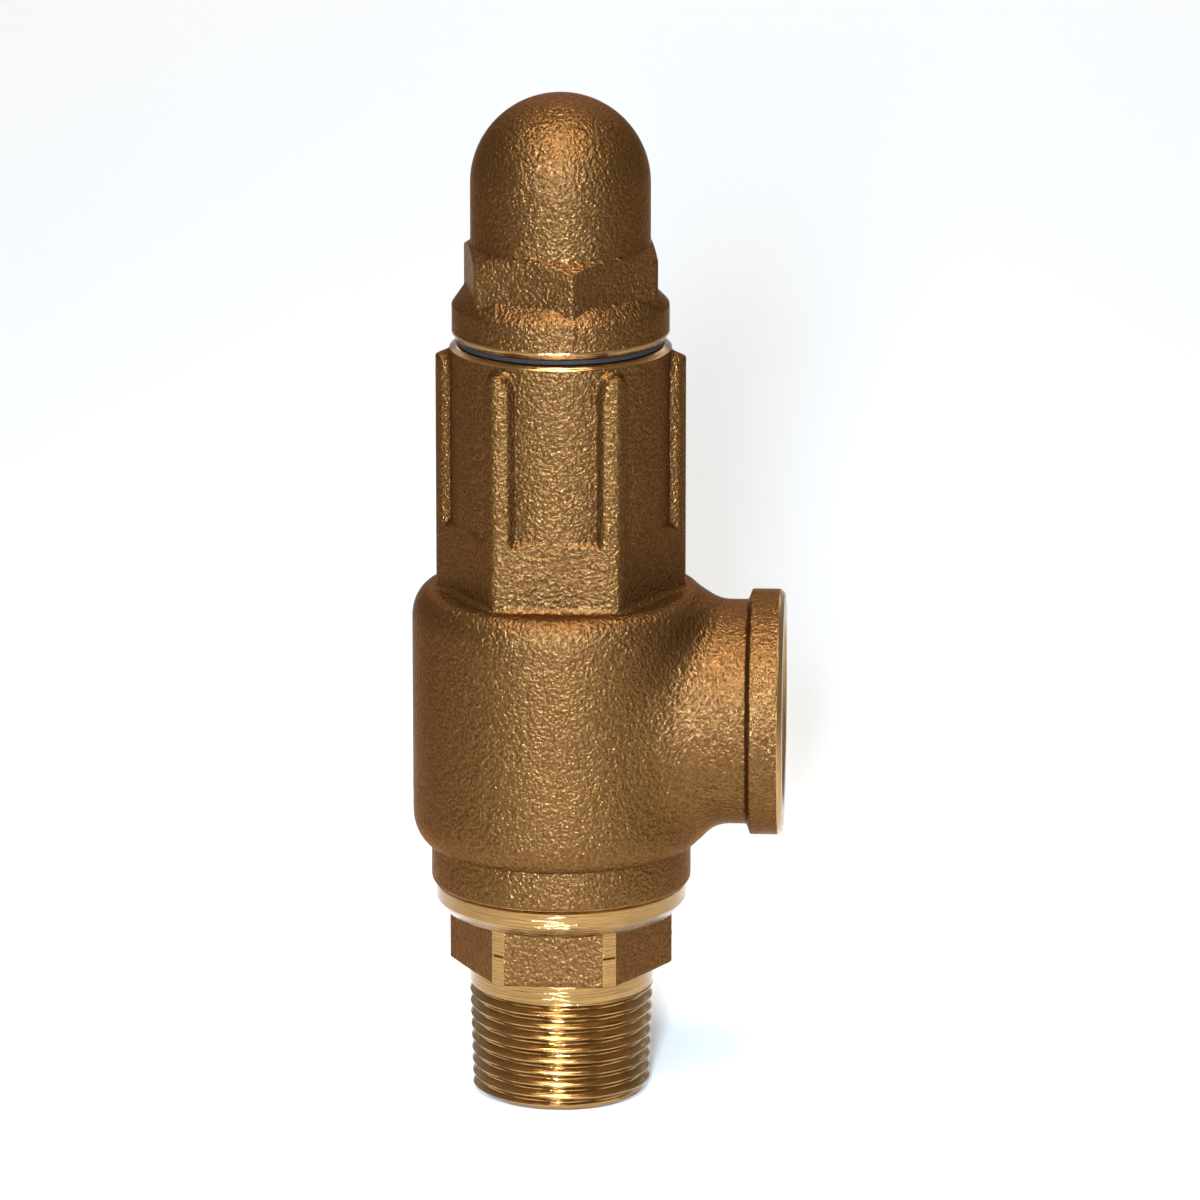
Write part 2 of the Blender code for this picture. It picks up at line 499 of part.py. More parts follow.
def make_disc(steel, bronze, soft):
    """The disc holder, its seal and what holds the seal, on the axis that lifts."""
    lift = bpy.data.objects.new("lift_axis", None)
    bpy.context.scene.collection.objects.link(lift)
    ring_foot = FOOT_TOP_Z + FACE_GAP
    groove_r = HUB_BORE_R + FOOT_RING_DEPTH
    tip_hole = SEAL_SCREW_R + SLIDE_GAP
    skirt = SEAL_Z + FACE_GAP
    back = POCKET_Z + HOLDER_BACK
    holder = [(0, BALL_SEAT_Z), (HUB_BORE_R, BALL_SEAT_Z), (HUB_BORE_R, ring_foot - FACE_GAP)]
    holder += [(groove_r, ring_foot - FACE_GAP), (groove_r, ring_foot + FOOT_RING_THICKNESS + FACE_GAP)]
    holder += [(HUB_BORE_R, ring_foot + FOOT_RING_THICKNESS + FACE_GAP), (HUB_BORE_R, HUB_TOP_Z)]
    holder += [(HUB_R, HUB_TOP_Z), (HUB_R, back + HOLDER_SKIRT), (HOLDER_R, back), (HOLDER_R, skirt)]
    holder += [(SEAL_R + SLIDE_GAP, skirt), (SEAL_R + SLIDE_GAP, POCKET_Z), (tip_hole, POCKET_Z)]
    holder += [(tip_hole, SCREW_TIP_Z + FACE_GAP), (0, SCREW_TIP_Z + FACE_GAP)]
    turned("disc_holder", holder, MEDIUM, bronze, lift)

    top, inner = SEAL_Z + SEAL_THICKNESS, SEAL_SCREW_R + SLIDE_GAP
    seal = [(SEAL_R, top), (SEAL_R, SEAL_Z), (inner, SEAL_Z), (inner, top)]
    turned("seal_disc", seal, MEDIUM, soft, lift)
    foot = WASHER_TOP_Z - WASHER_THICKNESS
    washer_r = SEAT_BORE_R - WASHER_INSET
    washer = [
        (washer_r, WASHER_TOP_Z), (washer_r, foot + WASHER_EDGE), (washer_r - WASHER_EDGE, foot),
        (inner, foot),
    ]
    turned("seal_clamp_washer", washer + [(inner, WASHER_TOP_Z)], SMALL, steel, lift)
    head_foot = SEAL_SCREW_HEAD_Z - SEAL_SCREW_HEAD
    shank = [(0, SCREW_TIP_Z), (SEAL_SCREW_R, SCREW_TIP_Z), (SEAL_SCREW_R, head_foot + 1), (0, head_foot + 1)]
    screw = turned("seal_screw", shank, SMALL, steel, lift)
    head = [(0, SEAL_SCREW_HEAD_Z), (SEAL_SCREW_HEAD_R, SEAL_SCREW_HEAD_Z), (SEAL_SCREW_HEAD_R, head_foot)]
    combine(screw, "UNION", turned("seal_screw_head", head + [(0, head_foot)], 6))
    return lift


def make_guide(bronze, steel):
    bore = HUB_R + SLIDE_GAP
    plate = [(GUIDE_R, GUIDE_TOP_Z), (GUIDE_R, GUIDE_FOOT_Z), (bore, GUIDE_FOOT_Z), (bore, GUIDE_TOP_Z)]
    turned("guide_plate", plate, LARGE, bronze)
    outer = GUIDE_SEAT_R + CIRCLIP_DEPTH - FACE_GAP
    foot = CIRCLIP_TOP_Z - CIRCLIP_THICKNESS
    inner = outer - CIRCLIP_WIDTH
    split_ring("guide_circlip", inner, outer, foot, CIRCLIP_THICKNESS, CIRCLIP_MOUTH, LARGE, steel)


def make_spindle(steel, lift):
    groove_r = SPINDLE_R - SPINDLE_GROOVE
    groove_top = PLATE_RING_Z + PLATE_RING_THICKNESS + FACE_GAP / 2
    groove_foot = PLATE_RING_Z - FACE_GAP / 2
    rod = [
        (0, SPINDLE_TOP_Z), (SPINDLE_R - SPINDLE_EDGE, SPINDLE_TOP_Z),
        (SPINDLE_R, SPINDLE_TOP_Z - SPINDLE_EDGE),
    ]
    rod += [(SPINDLE_R, groove_top), (groove_r, groove_top)]
    rod += [(groove_r, groove_foot), (SPINDLE_R, groove_foot)]
    rod += [(SPINDLE_R, FOOT_TOP_Z), (FOOT_R, FOOT_TOP_Z), (FOOT_R, FOOT_Z), (0, FOOT_Z)]
    turned("spindle", rod, SMALL, steel, lift)
    ball = arc(0, BALL_Z, BALL_R, BALL_R, 90, -90, 10)
    ball[0], ball[-1] = (0, BALL_Z + BALL_R), (0, BALL_Z - BALL_R)
    turned("spindle_ball", ball, SMALL, steel, lift)
    foot, inner = FOOT_TOP_Z + FACE_GAP, SPINDLE_R + SLIDE_GAP
    outer = HUB_BORE_R + FOOT_RING_DEPTH - RING_GAP
    split_ring(
        "spindle_retaining_ring", inner, outer, foot, FOOT_RING_THICKNESS, FOOT_RING_MOUTH, SMALL,
        steel, lift,
    )
    inner = groove_r + SLIDE_GAP
    outer = inner + PLATE_RING_WIDTH
    split_ring(
        "spring_plate_ring", inner, outer, PLATE_RING_Z, PLATE_RING_THICKNESS, groove_r * 2, SMALL, steel, lift
    )


def make_spring_plates(steel, lift, adjust):
    boss_r = SPRING_R - WIRE_R - PLATE_BOSS_GAP
    top, boss_top = LOWER_PLATE_Z + PLATE_THICKNESS, LOWER_PLATE_Z + PLATE_THICKNESS + PLATE_BOSS
    lower = [(boss_r, boss_top), (boss_r, top), (PLATE_R, top), (PLATE_R, LOWER_PLATE_Z + PLATE_EDGE)]
    lower += [(PLATE_R - PLATE_EDGE, LOWER_PLATE_Z), (SPINDLE_BORE_R, LOWER_PLATE_Z)]
    lower += [(SPINDLE_BORE_R, boss_top)]
    turned("lower_spring_plate", lower, MEDIUM, steel, lift)
    boss_foot = UPPER_PLATE_Z - PLATE_BOSS
    upper = [(PLATE_R - PLATE_EDGE, UPPER_PLATE_TOP_Z), (PLATE_R, UPPER_PLATE_TOP_Z - PLATE_EDGE)]
    upper += [(PLATE_R, UPPER_PLATE_Z)]
    upper += [(boss_r, UPPER_PLATE_Z), (boss_r, boss_foot), (SPINDLE_BORE_R, boss_foot)]
    turned("upper_spring_plate", upper + [(SPINDLE_BORE_R, UPPER_PLATE_TOP_Z)], MEDIUM, steel, adjust)


def make_spring(steel):
    """A helix whose first and last turns are closed, and whose other turns share the rest of the length."""
    closed_rise = 2 * WIRE_R + SPRING_CLOSED_GAP
    start, end = SPRING_FOOT_Z + WIRE_R, SPRING_TOP_Z - WIRE_R
    open_rise = (end - start - 2 * closed_rise) / (SPRING_TURNS - 2)
    curve = bpy.data.curves.new("spring", "CURVE")
    curve.dimensions = "3D"
    curve.bevel_depth = WIRE_R * MM
    curve.bevel_resolution = 2
    curve.use_fill_caps = True
    count = SPRING_TURNS * SPRING_POINTS
    spline = curve.splines.new("POLY")
    spline.points.add(count)
    for n, point in enumerate(spline.points):
        turns = n / SPRING_POINTS
        rise = closed_rise * min(turns, 1) + open_rise * min(max(turns - 1, 0), SPRING_TURNS - 2)
        rise += closed_rise * max(turns - SPRING_TURNS + 1, 0)
        angle = 2 * math.pi * turns
        x, y = SPRING_R * math.cos(angle), SPRING_R * math.sin(angle)
        point.co = (x * MM, y * MM, (start + rise) * MM, 1)
    place("spring", curve, steel)


def make_adjuster(brass, steel, adjust):
    """The hollow adjusting screw, and the lock washer and nut round it."""
    turn = bpy.data.objects.new("adjust_turn_axis", None)
    bpy.context.scene.collection.objects.link(turn)
    turn.parent = adjust
    outer = [(0, ADJUSTER_TOP_Z), (SCREW_R - EDGE, ADJUSTER_TOP_Z), (SCREW_R, ADJUSTER_TOP_Z - EDGE)]
    outer += [(SCREW_R, ADJUSTER_FOOT_Z + SCREW_END_LENGTH), (SCREW_R - SCREW_END_INSET, ADJUSTER_FOOT_Z)]
    outer += [(0, ADJUSTER_FOOT_Z)]
    screw = turned("adjusting_screw", outer, MEDIUM, brass, turn)
    half, top = SCREW_R - DRIVE_INSET, ADJUSTER_TOP_Z + DRIVE_HEIGHT
    drive = block("screw_drive", (-half, half), (-half, half), (ADJUSTER_TOP_Z - OVERLAP, top))
    above, below = top + BEYOND, ADJUSTER_FOOT_Z - BEYOND
    bore = [(0, above), (SPINDLE_BORE_R, above), (SPINDLE_BORE_R, below), (0, below)]
    combine(screw, "UNION", drive)
    combine(screw, "DIFFERENCE", turned("screw_bore", bore, SMALL))

    rise = bpy.data.objects.new("lock_nut_rise_axis", None)
    nut_turn = bpy.data.objects.new("lock_nut_turn_axis", None)
    for axis in (rise, nut_turn):
        bpy.context.scene.collection.objects.link(axis)
    nut_turn.parent = rise
    top = LOCK_WASHER_Z + LOCK_WASHER_THICKNESS
    washer_r = NECK_R - LOCK_WASHER_INSET
    washer = [(washer_r, top), (washer_r, LOCK_WASHER_Z), (SCREW_BORE_R, LOCK_WASHER_Z)]
    turned("lock_washer", washer + [(SCREW_BORE_R, top)], MEDIUM, steel, rise)
    corner = NUT_CORNER_R
    sides = [(0, NUT_TOP_Z), (corner, NUT_TOP_Z), (corner, NUT_Z), (0, NUT_Z)]
    nut = turned("lock_nut", sides, 6, brass, nut_turn)
    flat_r = corner * math.cos(math.pi / 6) - NUT_CONE_INSET
    wide, above, below = corner + CONE_STAND, NUT_TOP_Z + BEYOND, NUT_Z - BEYOND
    cone = [(0, above), (flat_r, above), (flat_r, NUT_TOP_Z), (wide, NUT_TOP_Z - NUT_CHAMFER)]
    cone += [(wide, NUT_Z + NUT_CHAMFER), (flat_r, NUT_Z), (flat_r, below), (0, below)]
    combine(nut, "INTERSECT", turned("nut_cone", cone, MEDIUM))
    hole = [(0, above), (SCREW_BORE_R, above), (SCREW_BORE_R, below), (0, below)]
    combine(nut, "DIFFERENCE", turned("nut_bore", hole, MEDIUM))


def main():
    clear_scene()
    bronze = finish("cast_bronze", (0.23, 0.12, 0.05), 0.7, 0.5)
    brass = finish("machined_brass", (0.62, 0.40, 0.14), 1.0, 0.3)
    steel = finish("steel", (0.55, 0.55, 0.56), 1.0, 0.35)
    soft = finish("white_seal", (0.85, 0.85, 0.82), 0.0, 0.5)
    rubber = finish("black_rubber", (0.02, 0.02, 0.02), 0.0, 0.7)
    adjust = bpy.data.objects.new("adjust_travel_axis", None)
    bpy.context.scene.collection.objects.link(adjust)
    make_body(bronze)
    make_nozzle(brass, rubber)
    make_cap(bronze, rubber)
    lift = make_disc(steel, bronze, soft)
    make_guide(bronze, steel)
    make_spindle(steel, lift)
    make_spring_plates(steel, lift, adjust)
    make_spring(steel)
    make_adjuster(brass, steel, adjust)


main()
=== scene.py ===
"""Bronze pressure relief valve: its visible surfaces, finishes, light and camera.

Every piece is a grid of points worked out with numpy, in millimetres, round the valve's own axis (Z) or
round its outlet's (X). Rows of a grid run down the outside of a piece and, where it is hollow, back up
the inside; columns run once round. Heights are counted from the inlet's end face.
"""

import math

import bmesh
import bpy
import numpy as np
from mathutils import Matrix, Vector


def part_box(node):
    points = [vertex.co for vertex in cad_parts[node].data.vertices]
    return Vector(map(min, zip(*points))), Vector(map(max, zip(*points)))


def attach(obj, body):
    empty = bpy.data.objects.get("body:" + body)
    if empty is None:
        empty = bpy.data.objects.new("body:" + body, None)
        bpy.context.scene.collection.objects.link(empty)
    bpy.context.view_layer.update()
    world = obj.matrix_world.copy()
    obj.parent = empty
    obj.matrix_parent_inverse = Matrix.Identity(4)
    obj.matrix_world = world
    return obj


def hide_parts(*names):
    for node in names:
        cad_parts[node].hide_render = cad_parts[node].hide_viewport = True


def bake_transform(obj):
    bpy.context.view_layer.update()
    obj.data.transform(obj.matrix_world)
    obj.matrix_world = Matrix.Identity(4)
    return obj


MM = 0.001
TAU = 2 * math.pi
WELD = 2e-7  # metres

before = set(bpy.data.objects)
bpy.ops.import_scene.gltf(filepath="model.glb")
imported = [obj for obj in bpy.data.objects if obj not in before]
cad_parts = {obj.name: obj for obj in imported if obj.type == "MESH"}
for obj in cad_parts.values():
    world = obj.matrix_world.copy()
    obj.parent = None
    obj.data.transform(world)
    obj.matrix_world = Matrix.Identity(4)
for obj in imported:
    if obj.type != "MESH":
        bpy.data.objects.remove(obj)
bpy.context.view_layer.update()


# ---------------------------------------------------------------- sizes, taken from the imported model


def span(node, axis):
    """A node's lowest and highest coordinate along one axis, in millimetres."""
    low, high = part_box(node)
    return low[axis] / MM, high[axis] / MM


BODY_FOOT_Z, NECK_TOP_Z = span("body", 2)
DRUM_R = -span("body", 0)[0]
OUTLET_REACH = span("body", 0)[1]
CAP_FOOT_Z, CAP_TOP_Z = span("cap", 2)
FLANGE_R = span("cap", 1)[1]
SEAT_Z = span("inlet_nozzle", 2)[1]
RING_R = span("inlet_nozzle", 1)[1]
GUIDE_FOOT_Z, GUIDE_TOP_Z = span("guide_plate", 2)
GUIDE_R = span("guide_plate", 0)[1]
CAP_GASKET_FOOT_Z, CAP_GASKET_TOP_Z = span("cap_gasket", 2)
SCREW_FOOT_Z, DRIVE_TOP_Z = span("adjusting_screw", 2)
SCREW_R = span("adjusting_screw", 0)[1]
NUT_FOOT_Z, NUT_TOP_Z = span("lock_nut", 2)
NUT_CORNER_R = span("lock_nut", 0)[1]
WASHER_FOOT_Z, WASHER_TOP_Z = span("lock_washer", 2)
LOWER_PLATE_Z, LOWER_BOSS_Z = span("lower_spring_plate", 2)
UPPER_BOSS_Z, UPPER_PLATE_Z = span("upper_spring_plate", 2)
PLATE_R = span("lower_spring_plate", 0)[1]
SPRING_FOOT_Z, SPRING_TOP_Z = span("spring", 2)
SPINDLE_FOOT_Z, SPINDLE_TOP_Z = span("spindle", 2)
BALL_FOOT_Z, BALL_TOP_Z = span("spindle_ball", 2)
HOLDER_FOOT_Z, HOLDER_TOP_Z = span("disc_holder", 2)
HOLDER_R = span("disc_holder", 0)[1]
SEAL_FOOT_Z, SEAL_TOP_Z = span("seal_disc", 2)
SEAL_R = span("seal_disc", 0)[1]

# Bonnet and neck, from the top of the neck down
NECK_R = 12.4
NECK_HEIGHT = 10.9
SCREW_BORE_R = SCREW_R + 0.3
BONNET_TOP_Z = NECK_TOP_Z - NECK_HEIGHT
BONNET_R = 19.79
BONNET_CHAMFER = 0.8
BONNET_CHAMFER_INSET = 1.0
BONNET_APOTHEM = BONNET_R - 0.05
BONNET_EDGE = 2.0  # degrees over which a corner is rounded
RIB_BAND = 3.3  # width of a rib on each side of its corner
RIB_TIP = 4.3
RIB_TOP_Z = BONNET_TOP_Z - 1.9
RIB_WALL = 0.17  # share of a rib's width that its sloping side takes
LEDGE_Z = BONNET_TOP_Z - 32.0
LEDGE_SLOPE = 1.2
FOOT_FILLET = 1.2

# Drum and collar
SHOULDER_R, SHOULDER_ROUND = DRUM_R - 3.8, 5.4
SHOULDER_ROWS = [90, 76, 68, 60, 52, 44, 36, 28, 20, 12, 4, 0]  # degrees from level, down the shoulder
DRUM_FOOT_ROWS = [-9, -18, -27, -36, -45, -54, -63, -72, -79, -86]
COLLAR_R, DRUM_FOOT_ROUND = DRUM_R - 3.3, 5.8
SHOULDER_Z = BONNET_TOP_Z - 44.9
DRUM_FOOT_Z = BODY_FOOT_Z + 7.4
COLLAR_EDGE = 0.9

# Degrees from each of the six corners at which the body has a column of points, closer beside the ribs
BODY_COLUMNS = [0, 0.6, 1.2, 1.9, 2.8, 4.0, 5.4, 6.3, 7.0, 7.6, 8.2, 8.8, 9.5, 10.4, 11.8]
BODY_COLUMNS += [14, 17, 20.2, 23.5, 26.8]

# Inside of the body
GASKET_SEAT_R, GASKET_SEAT_DEPTH = 20.58, 1.4
LOWER_BORE_R, LOWER_BORE_TOP_Z = 18.48, BODY_FOOT_Z + 12.2
CIRCLIP_Z = span("guide_circlip", 2)[1]
CIRCLIP_GROOVE_DEPTH, CIRCLIP_GROOVE_HEIGHT = 1.2, 1.6
CAVITY_R, CAVITY_TOP_Z = DRUM_R - 4.7, CIRCLIP_Z - 5.3
CAVITY_FOOT_SLOPE, CAVITY_TOP_SLOPE = 3.0, 3.4
CHAMBER_R = BONNET_R - 4.6
GUIDE_SEAT_R, GUIDE_GAP = CHAMBER_R + 1.3, 0.3
ROOF_Z, ROOF_CHAMFER = BONNET_TOP_Z - 2.6, 1.0

# Outlet
OUTLET_Z = DRUM_FOOT_Z + 23.9
NECK_TUBE_R = 20.2
BEAD_R = 22.1
BEAD_WIDTH = 6.6
BEAD_SLOPE = 0.7
OUTLET_CHAMFER = 0.8
OUTLET_BORE_R = 15.9
OUTLET_MOUTH_R = 17.3
OUTLET_PITCH = 2.309
OUTLET_THREAD_DEPTH = 0.6
OUTLET_MOUTH_DEPTH = 1.3
CAST_FILLET, LEAST_FILLET = 4.6, 0.5
FILLET_PAST_FOOT, FILLET_PAST_SHOULDER = 3.2, 2.3  # how far beyond the drum's ends the fillet fades out
FILLET_ROWS = 25
OUTLET_CUT_ROWS = 15  # rows of the spout, from the bead's rim inwards, that a tool has cut
NECK_ROOT_X = DRUM_R + 5.9
THREAD_END_X = DRUM_R - 1.5
HOLE_HALF = 77  # degrees each side of the outlet that its hole in the outer skin takes
INNER_HOLE_HALF = 57
INNER_HOLE_REACH = 17.6

# Nozzle
NOZZLE_PITCH = 2.209
NOZZLE_TAPER = 1 / 32
THREAD_DEPTH = 1.15


# ---------------------------------------------------------------- meshes


def strips(rows, columns, wrap_rows=False):
    """Corner numbers of the four-sided faces between the points of a grid, which closes round its columns."""
    i = np.arange(rows if wrap_rows else rows - 1)[:, None]
    j = np.arange(columns)[None, :]
    below, beside = (i + 1) % rows, (j + 1) % columns
    corners = [i * columns + j, below * columns + j, below * columns + beside, i * columns + beside]
    return np.stack(np.broadcast_arrays(*corners), -1)


def piece(name, parts, finishes, sharp=35):
    """One welded mesh from (points, faces, finish numbers) parts, with faces of four corners."""
    offset, points, faces, marks = 0, [], [], []
    for spots, corners, finish in parts:
        flat = spots.reshape(-1, 3)
        corners = corners.reshape(-1, 4)
        points.append(flat)
        faces.append(corners + offset)
        marks.append(np.broadcast_to(finish, len(corners)) if np.ndim(finish) == 0 else finish)
        offset += len(flat)
    points, faces, marks = (np.concatenate(found) for found in (points, faces, marks))
    mesh = bpy.data.meshes.new(name)
    mesh.vertices.add(len(points))
    mesh.vertices.foreach_set("co", (points * MM).ravel())
    mesh.loops.add(faces.size)
    mesh.loops.foreach_set("vertex_index", faces.ravel().astype(np.int32))
    mesh.polygons.add(len(faces))
    mesh.polygons.foreach_set("loop_start", np.arange(0, faces.size, 4, dtype=np.int32))
    mesh.polygons.foreach_set("material_index", marks.astype(np.int32))
    mesh.update(calc_edges=True)
    shape = bmesh.new()
    shape.from_mesh(mesh)
    bmesh.ops.remove_doubles(shape, verts=shape.verts, dist=WELD)
    bmesh.ops.dissolve_degenerate(shape, edges=shape.edges, dist=WELD)
    shape.to_mesh(mesh)
    shape.free()
    mesh.shade_smooth()
    mesh.set_sharp_from_angle(angle=math.radians(sharp))
    for finish in finishes:
        mesh.materials.append(finish)
    obj = bpy.data.objects.new(name, mesh)
    bpy.context.scene.collection.objects.link(obj)
    return obj


def even(count):
    """Evenly spaced angles once round, from -180 degrees."""
    return TAU * np.arange(count) / count - math.pi


def arc(centre_r, centre_z, radius_r, radius_z, degrees):
    """Rows along an ellipse's arc, at the given angles from its level radius."""
    turn = np.radians(degrees)
    return list(zip(centre_r + radius_r * np.cos(turn), centre_z + radius_z * np.sin(turn)))


def eased(outline, radius=0.25, steps=3, closed=False):
    """An outline whose corners are arcs: each corner is a curve between two points at the radius from it."""
    spots = np.array(outline, float)
    count = len(spots)
    found = []
    for n in range(count):
        if not closed and n in (0, count - 1):
            found.append(tuple(spots[n]))
            continue
        back, ahead = spots[n - 1] - spots[n], spots[(n + 1) % count] - spots[n]
        near = min(radius, 0.45 * np.hypot(*back), 0.45 * np.hypot(*ahead))
        start = spots[n] + near * back / np.hypot(*back)
        end = spots[n] + near * ahead / np.hypot(*ahead)
        for share in np.linspace(0, 1, steps + 1):
            bend = (1 - share) ** 2 * start + 2 * share * (1 - share) * spots[n] + share**2 * end
            found.append(tuple(bend))
    return found


def skin(rows, angles):
    """Points of a skin round Z: a row is a loop (r cos t, r sin t, z) whose r and z may follow t."""
    r = np.array([np.broadcast_to(row[0], angles.shape) for row in rows], float)
    z = np.array([np.broadcast_to(row[1], angles.shape) for row in rows], float)
    return np.stack([r * np.cos(angles), r * np.sin(angles), z], -1)


def lathe(name, rows, finish, columns=96, angles=None, sharp=35):
    """A piece turned round Z. One whose rows start on the axis is solid, and any other closes on itself."""
    angles = even(columns) if angles is None else angles
    points = skin(rows, angles)
    hollow = np.hypot(points[0, :, 0], points[0, :, 1]).max() > 1e-6
    return piece(name, [(points, strips(len(rows), len(angles), hollow), 0)], [finish], sharp)


def corner_columns(turn, steps):
    """Angles round the axis that crowd beside a hexagon's corners, at the given degrees from each corner."""
    half = np.array(steps)
    sector = np.concatenate([half, [30], 60 - half[:0:-1]])
    degrees = (turn + np.arange(6)[:, None] * 60 + sector[None, :]).ravel() - 180
    return np.radians(degrees)


def from_corner(angles, turn):
    """Degrees from the nearest corner of a hexagon turned by turn degrees."""
    return (np.degrees(angles) - turn + 30) % 60 - 30


def hexagon(angles, apothem, turn=0, edge=1.0):
    """Radius of a hexagonal prism: its apothem over the cosine of the angle from the flat's middle.

    The distance from the corner never falls below edge degrees, which rounds the corner.
    """
    away = np.sqrt(from_corner(angles, turn) ** 2 + edge**2)
    return apothem / np.cos(np.radians(30 - np.minimum(away, 30)))


def smooth(share):
    """An S-curve from 0 to 1."""
    share = np.clip(share, 0, 1)
    return share * share * (3 - 2 * share)


# ---------------------------------------------------------------- finishes


def finish(name, color, metallic, roughness, **settings):
    """A Principled material with the given plain values, its node tree and its shader."""
    material = bpy.data.materials.new(name)
    material.use_nodes = True
    tree = material.node_tree
    shader = tree.nodes["Principled BSDF"]
    shader.inputs["Base Color"].default_value = (*color, 1)
    shader.inputs["Metallic"].default_value = metallic
    shader.inputs["Roughness"].default_value = roughness
    for socket, value in settings.items():
        value = (*value, 1) if isinstance(value, tuple) else value
        shader.inputs[socket.replace("_", " ").title().replace("Ior", "IOR")].default_value = value
    return material, tree, shader


def node(tree, kind, **values):
    """A new node, with its sockets and settings given by name."""
    made = tree.nodes.new(kind)
    for key, value in values.items():
        if key in made.inputs:
            made.inputs[key].default_value = value
        else:
            setattr(made, key, value)
    return made


def coordinates(tree, stretch=(1, 1, 1)):
    """Object coordinates, stretched along the axes."""
    source = node(tree, "ShaderNodeTexCoord")
    mapping = node(tree, "ShaderNodeMapping", Scale=stretch)
    tree.links.new(source.outputs["Object"], mapping.inputs["Vector"])
    return mapping.outputs["Vector"]


def noise(tree, vector, scale, detail=2.0, rough=0.5):
    """Noise whose scale is in waves per metre."""
    made = node(tree, "ShaderNodeTexNoise", Scale=scale, Detail=detail, Roughness=rough)
    tree.links.new(vector, made.inputs["Vector"])
    return made.outputs["Fac"]


def ranged(tree, value, low, high, start=0.3, end=0.7):
    """A value's span from start to end, mapped onto low to high."""
    made = node(tree, "ShaderNodeMapRange")
    for socket, setting in zip(("From Min", "From Max", "To Min", "To Max"), (start, end, low, high)):
        made.inputs[socket].default_value = setting
    tree.links.new(value, made.inputs["Value"])
    return made.outputs["Result"]


def mixed(tree, share, first, second, blend="MIX"):
    """Two colours, or a socket and a colour, mixed by a share."""
    made = node(tree, "ShaderNodeMix", data_type="RGBA", blend_type=blend)
    tree.links.new(share, made.inputs["Factor"])
    for socket, value in ((made.inputs[6], first), (made.inputs[7], second)):
        if isinstance(value, tuple):
            socket.default_value = (*value, 1)
        else:
            tree.links.new(value, socket)
    return made.outputs[2]


def added(tree, first, second, operation="ADD"):
    """Two values joined by a sum, or by another operation."""
    made = node(tree, "ShaderNodeMath", operation=operation)
    for socket, value in zip(made.inputs, (first, second)):
        if isinstance(value, (int, float)):
            socket.default_value = value
        else:
            tree.links.new(value, socket)
    return made.outputs[0]


def bumped(tree, shader, height, strength, distance, coat=False):
    """Tilts a shader's normal, and its coat's, by a height map; distance is in metres."""
    bump = node(tree, "ShaderNodeBump", Strength=strength, Distance=distance)
    tree.links.new(height, bump.inputs["Height"])
    tree.links.new(bump.outputs["Normal"], shader.inputs["Normal"])
    if coat:
        tree.links.new(bump.outputs["Normal"], shader.inputs["Coat Normal"])


def cast_bronze():
    """Shot-blasted casting: a pebbled skin of grains under a millimetre, with painted shade in their hollows
    and painted glints on their tops.
    """
    material, tree, shader = finish(
        "cast_bronze", (0.12, 0.051, 0.014), 0.9, 0.34,
        coat_weight=0.06, coat_roughness=0.3, specular_tint=(0.62, 0.42, 0.24),
    )
    place = coordinates(tree)
    grain = noise(tree, place, 1700, 2.0, 0.5)
    dimple = noise(tree, place, 900, 2.0, 0.5)
    stain = noise(tree, place, 55, 3.0, 0.6)
    # hollow is painted shade in the grains' low spots and top a painted glint on their high spots; stained is
    # the casting's own tone
    hollow, top, stained = (0.080, 0.0345, 0.0085), (0.140, 0.065, 0.020), (0.115, 0.054, 0.011)
    tint = mixed(tree, ranged(tree, grain, 0.0, 1.0, 0.36, 0.66), hollow, top)
    tint = mixed(tree, ranged(tree, stain, 0.0, 0.35, 0.45, 0.7), tint, stained)
    tree.links.new(tint, shader.inputs["Base Color"])
    tree.links.new(ranged(tree, grain, 0.4, 0.26), shader.inputs["Roughness"])
    height = added(tree, grain, added(tree, dimple, 0.7, "MULTIPLY"))
    bumped(tree, shader, height, 1.0, 0.00036, coat=True)
    return material


def turned_metal(name, color, roughness, depth=0.00016, stretch=(60, 60, 5200), mottle=0.12):
    """Machined metal with the fine rings that a cutting tool leaves round the valve's axis."""
    material, tree, shader = finish(name, color, 1.0, roughness)
    rings = noise(tree, coordinates(tree, stretch), 1, 2.0, 0.7)
    stain = noise(tree, coordinates(tree), 90, 3.0, 0.6)
    dark = tuple(c * (1 - 2 * mottle) for c in color)
    tree.links.new(mixed(tree, ranged(tree, stain, 0.0, 1.0), color, dark), shader.inputs["Base Color"])
    tree.links.new(ranged(tree, rings, roughness * 0.8, roughness * 1.35), shader.inputs["Roughness"])
    bumped(tree, shader, rings, 0.6, depth)
    return material


def plain_solid(name, color, roughness, grain_scale, depth):
    """Rubber, graphite or seal plastic with a faint matt grain."""
    material, tree, shader = finish(name, color, 0.0, roughness, specular_ior_level=0.2)
    grain = noise(tree, coordinates(tree), grain_scale, 3.0, 0.6)
    pale = tuple(min(1.0, c * 1.25 + 0.004) for c in color)
    tree.links.new(mixed(tree, ranged(tree, grain, 0.0, 1.0), color, pale), shader.inputs["Base Color"])
    bumped(tree, shader, grain, 0.4, depth)
    return material


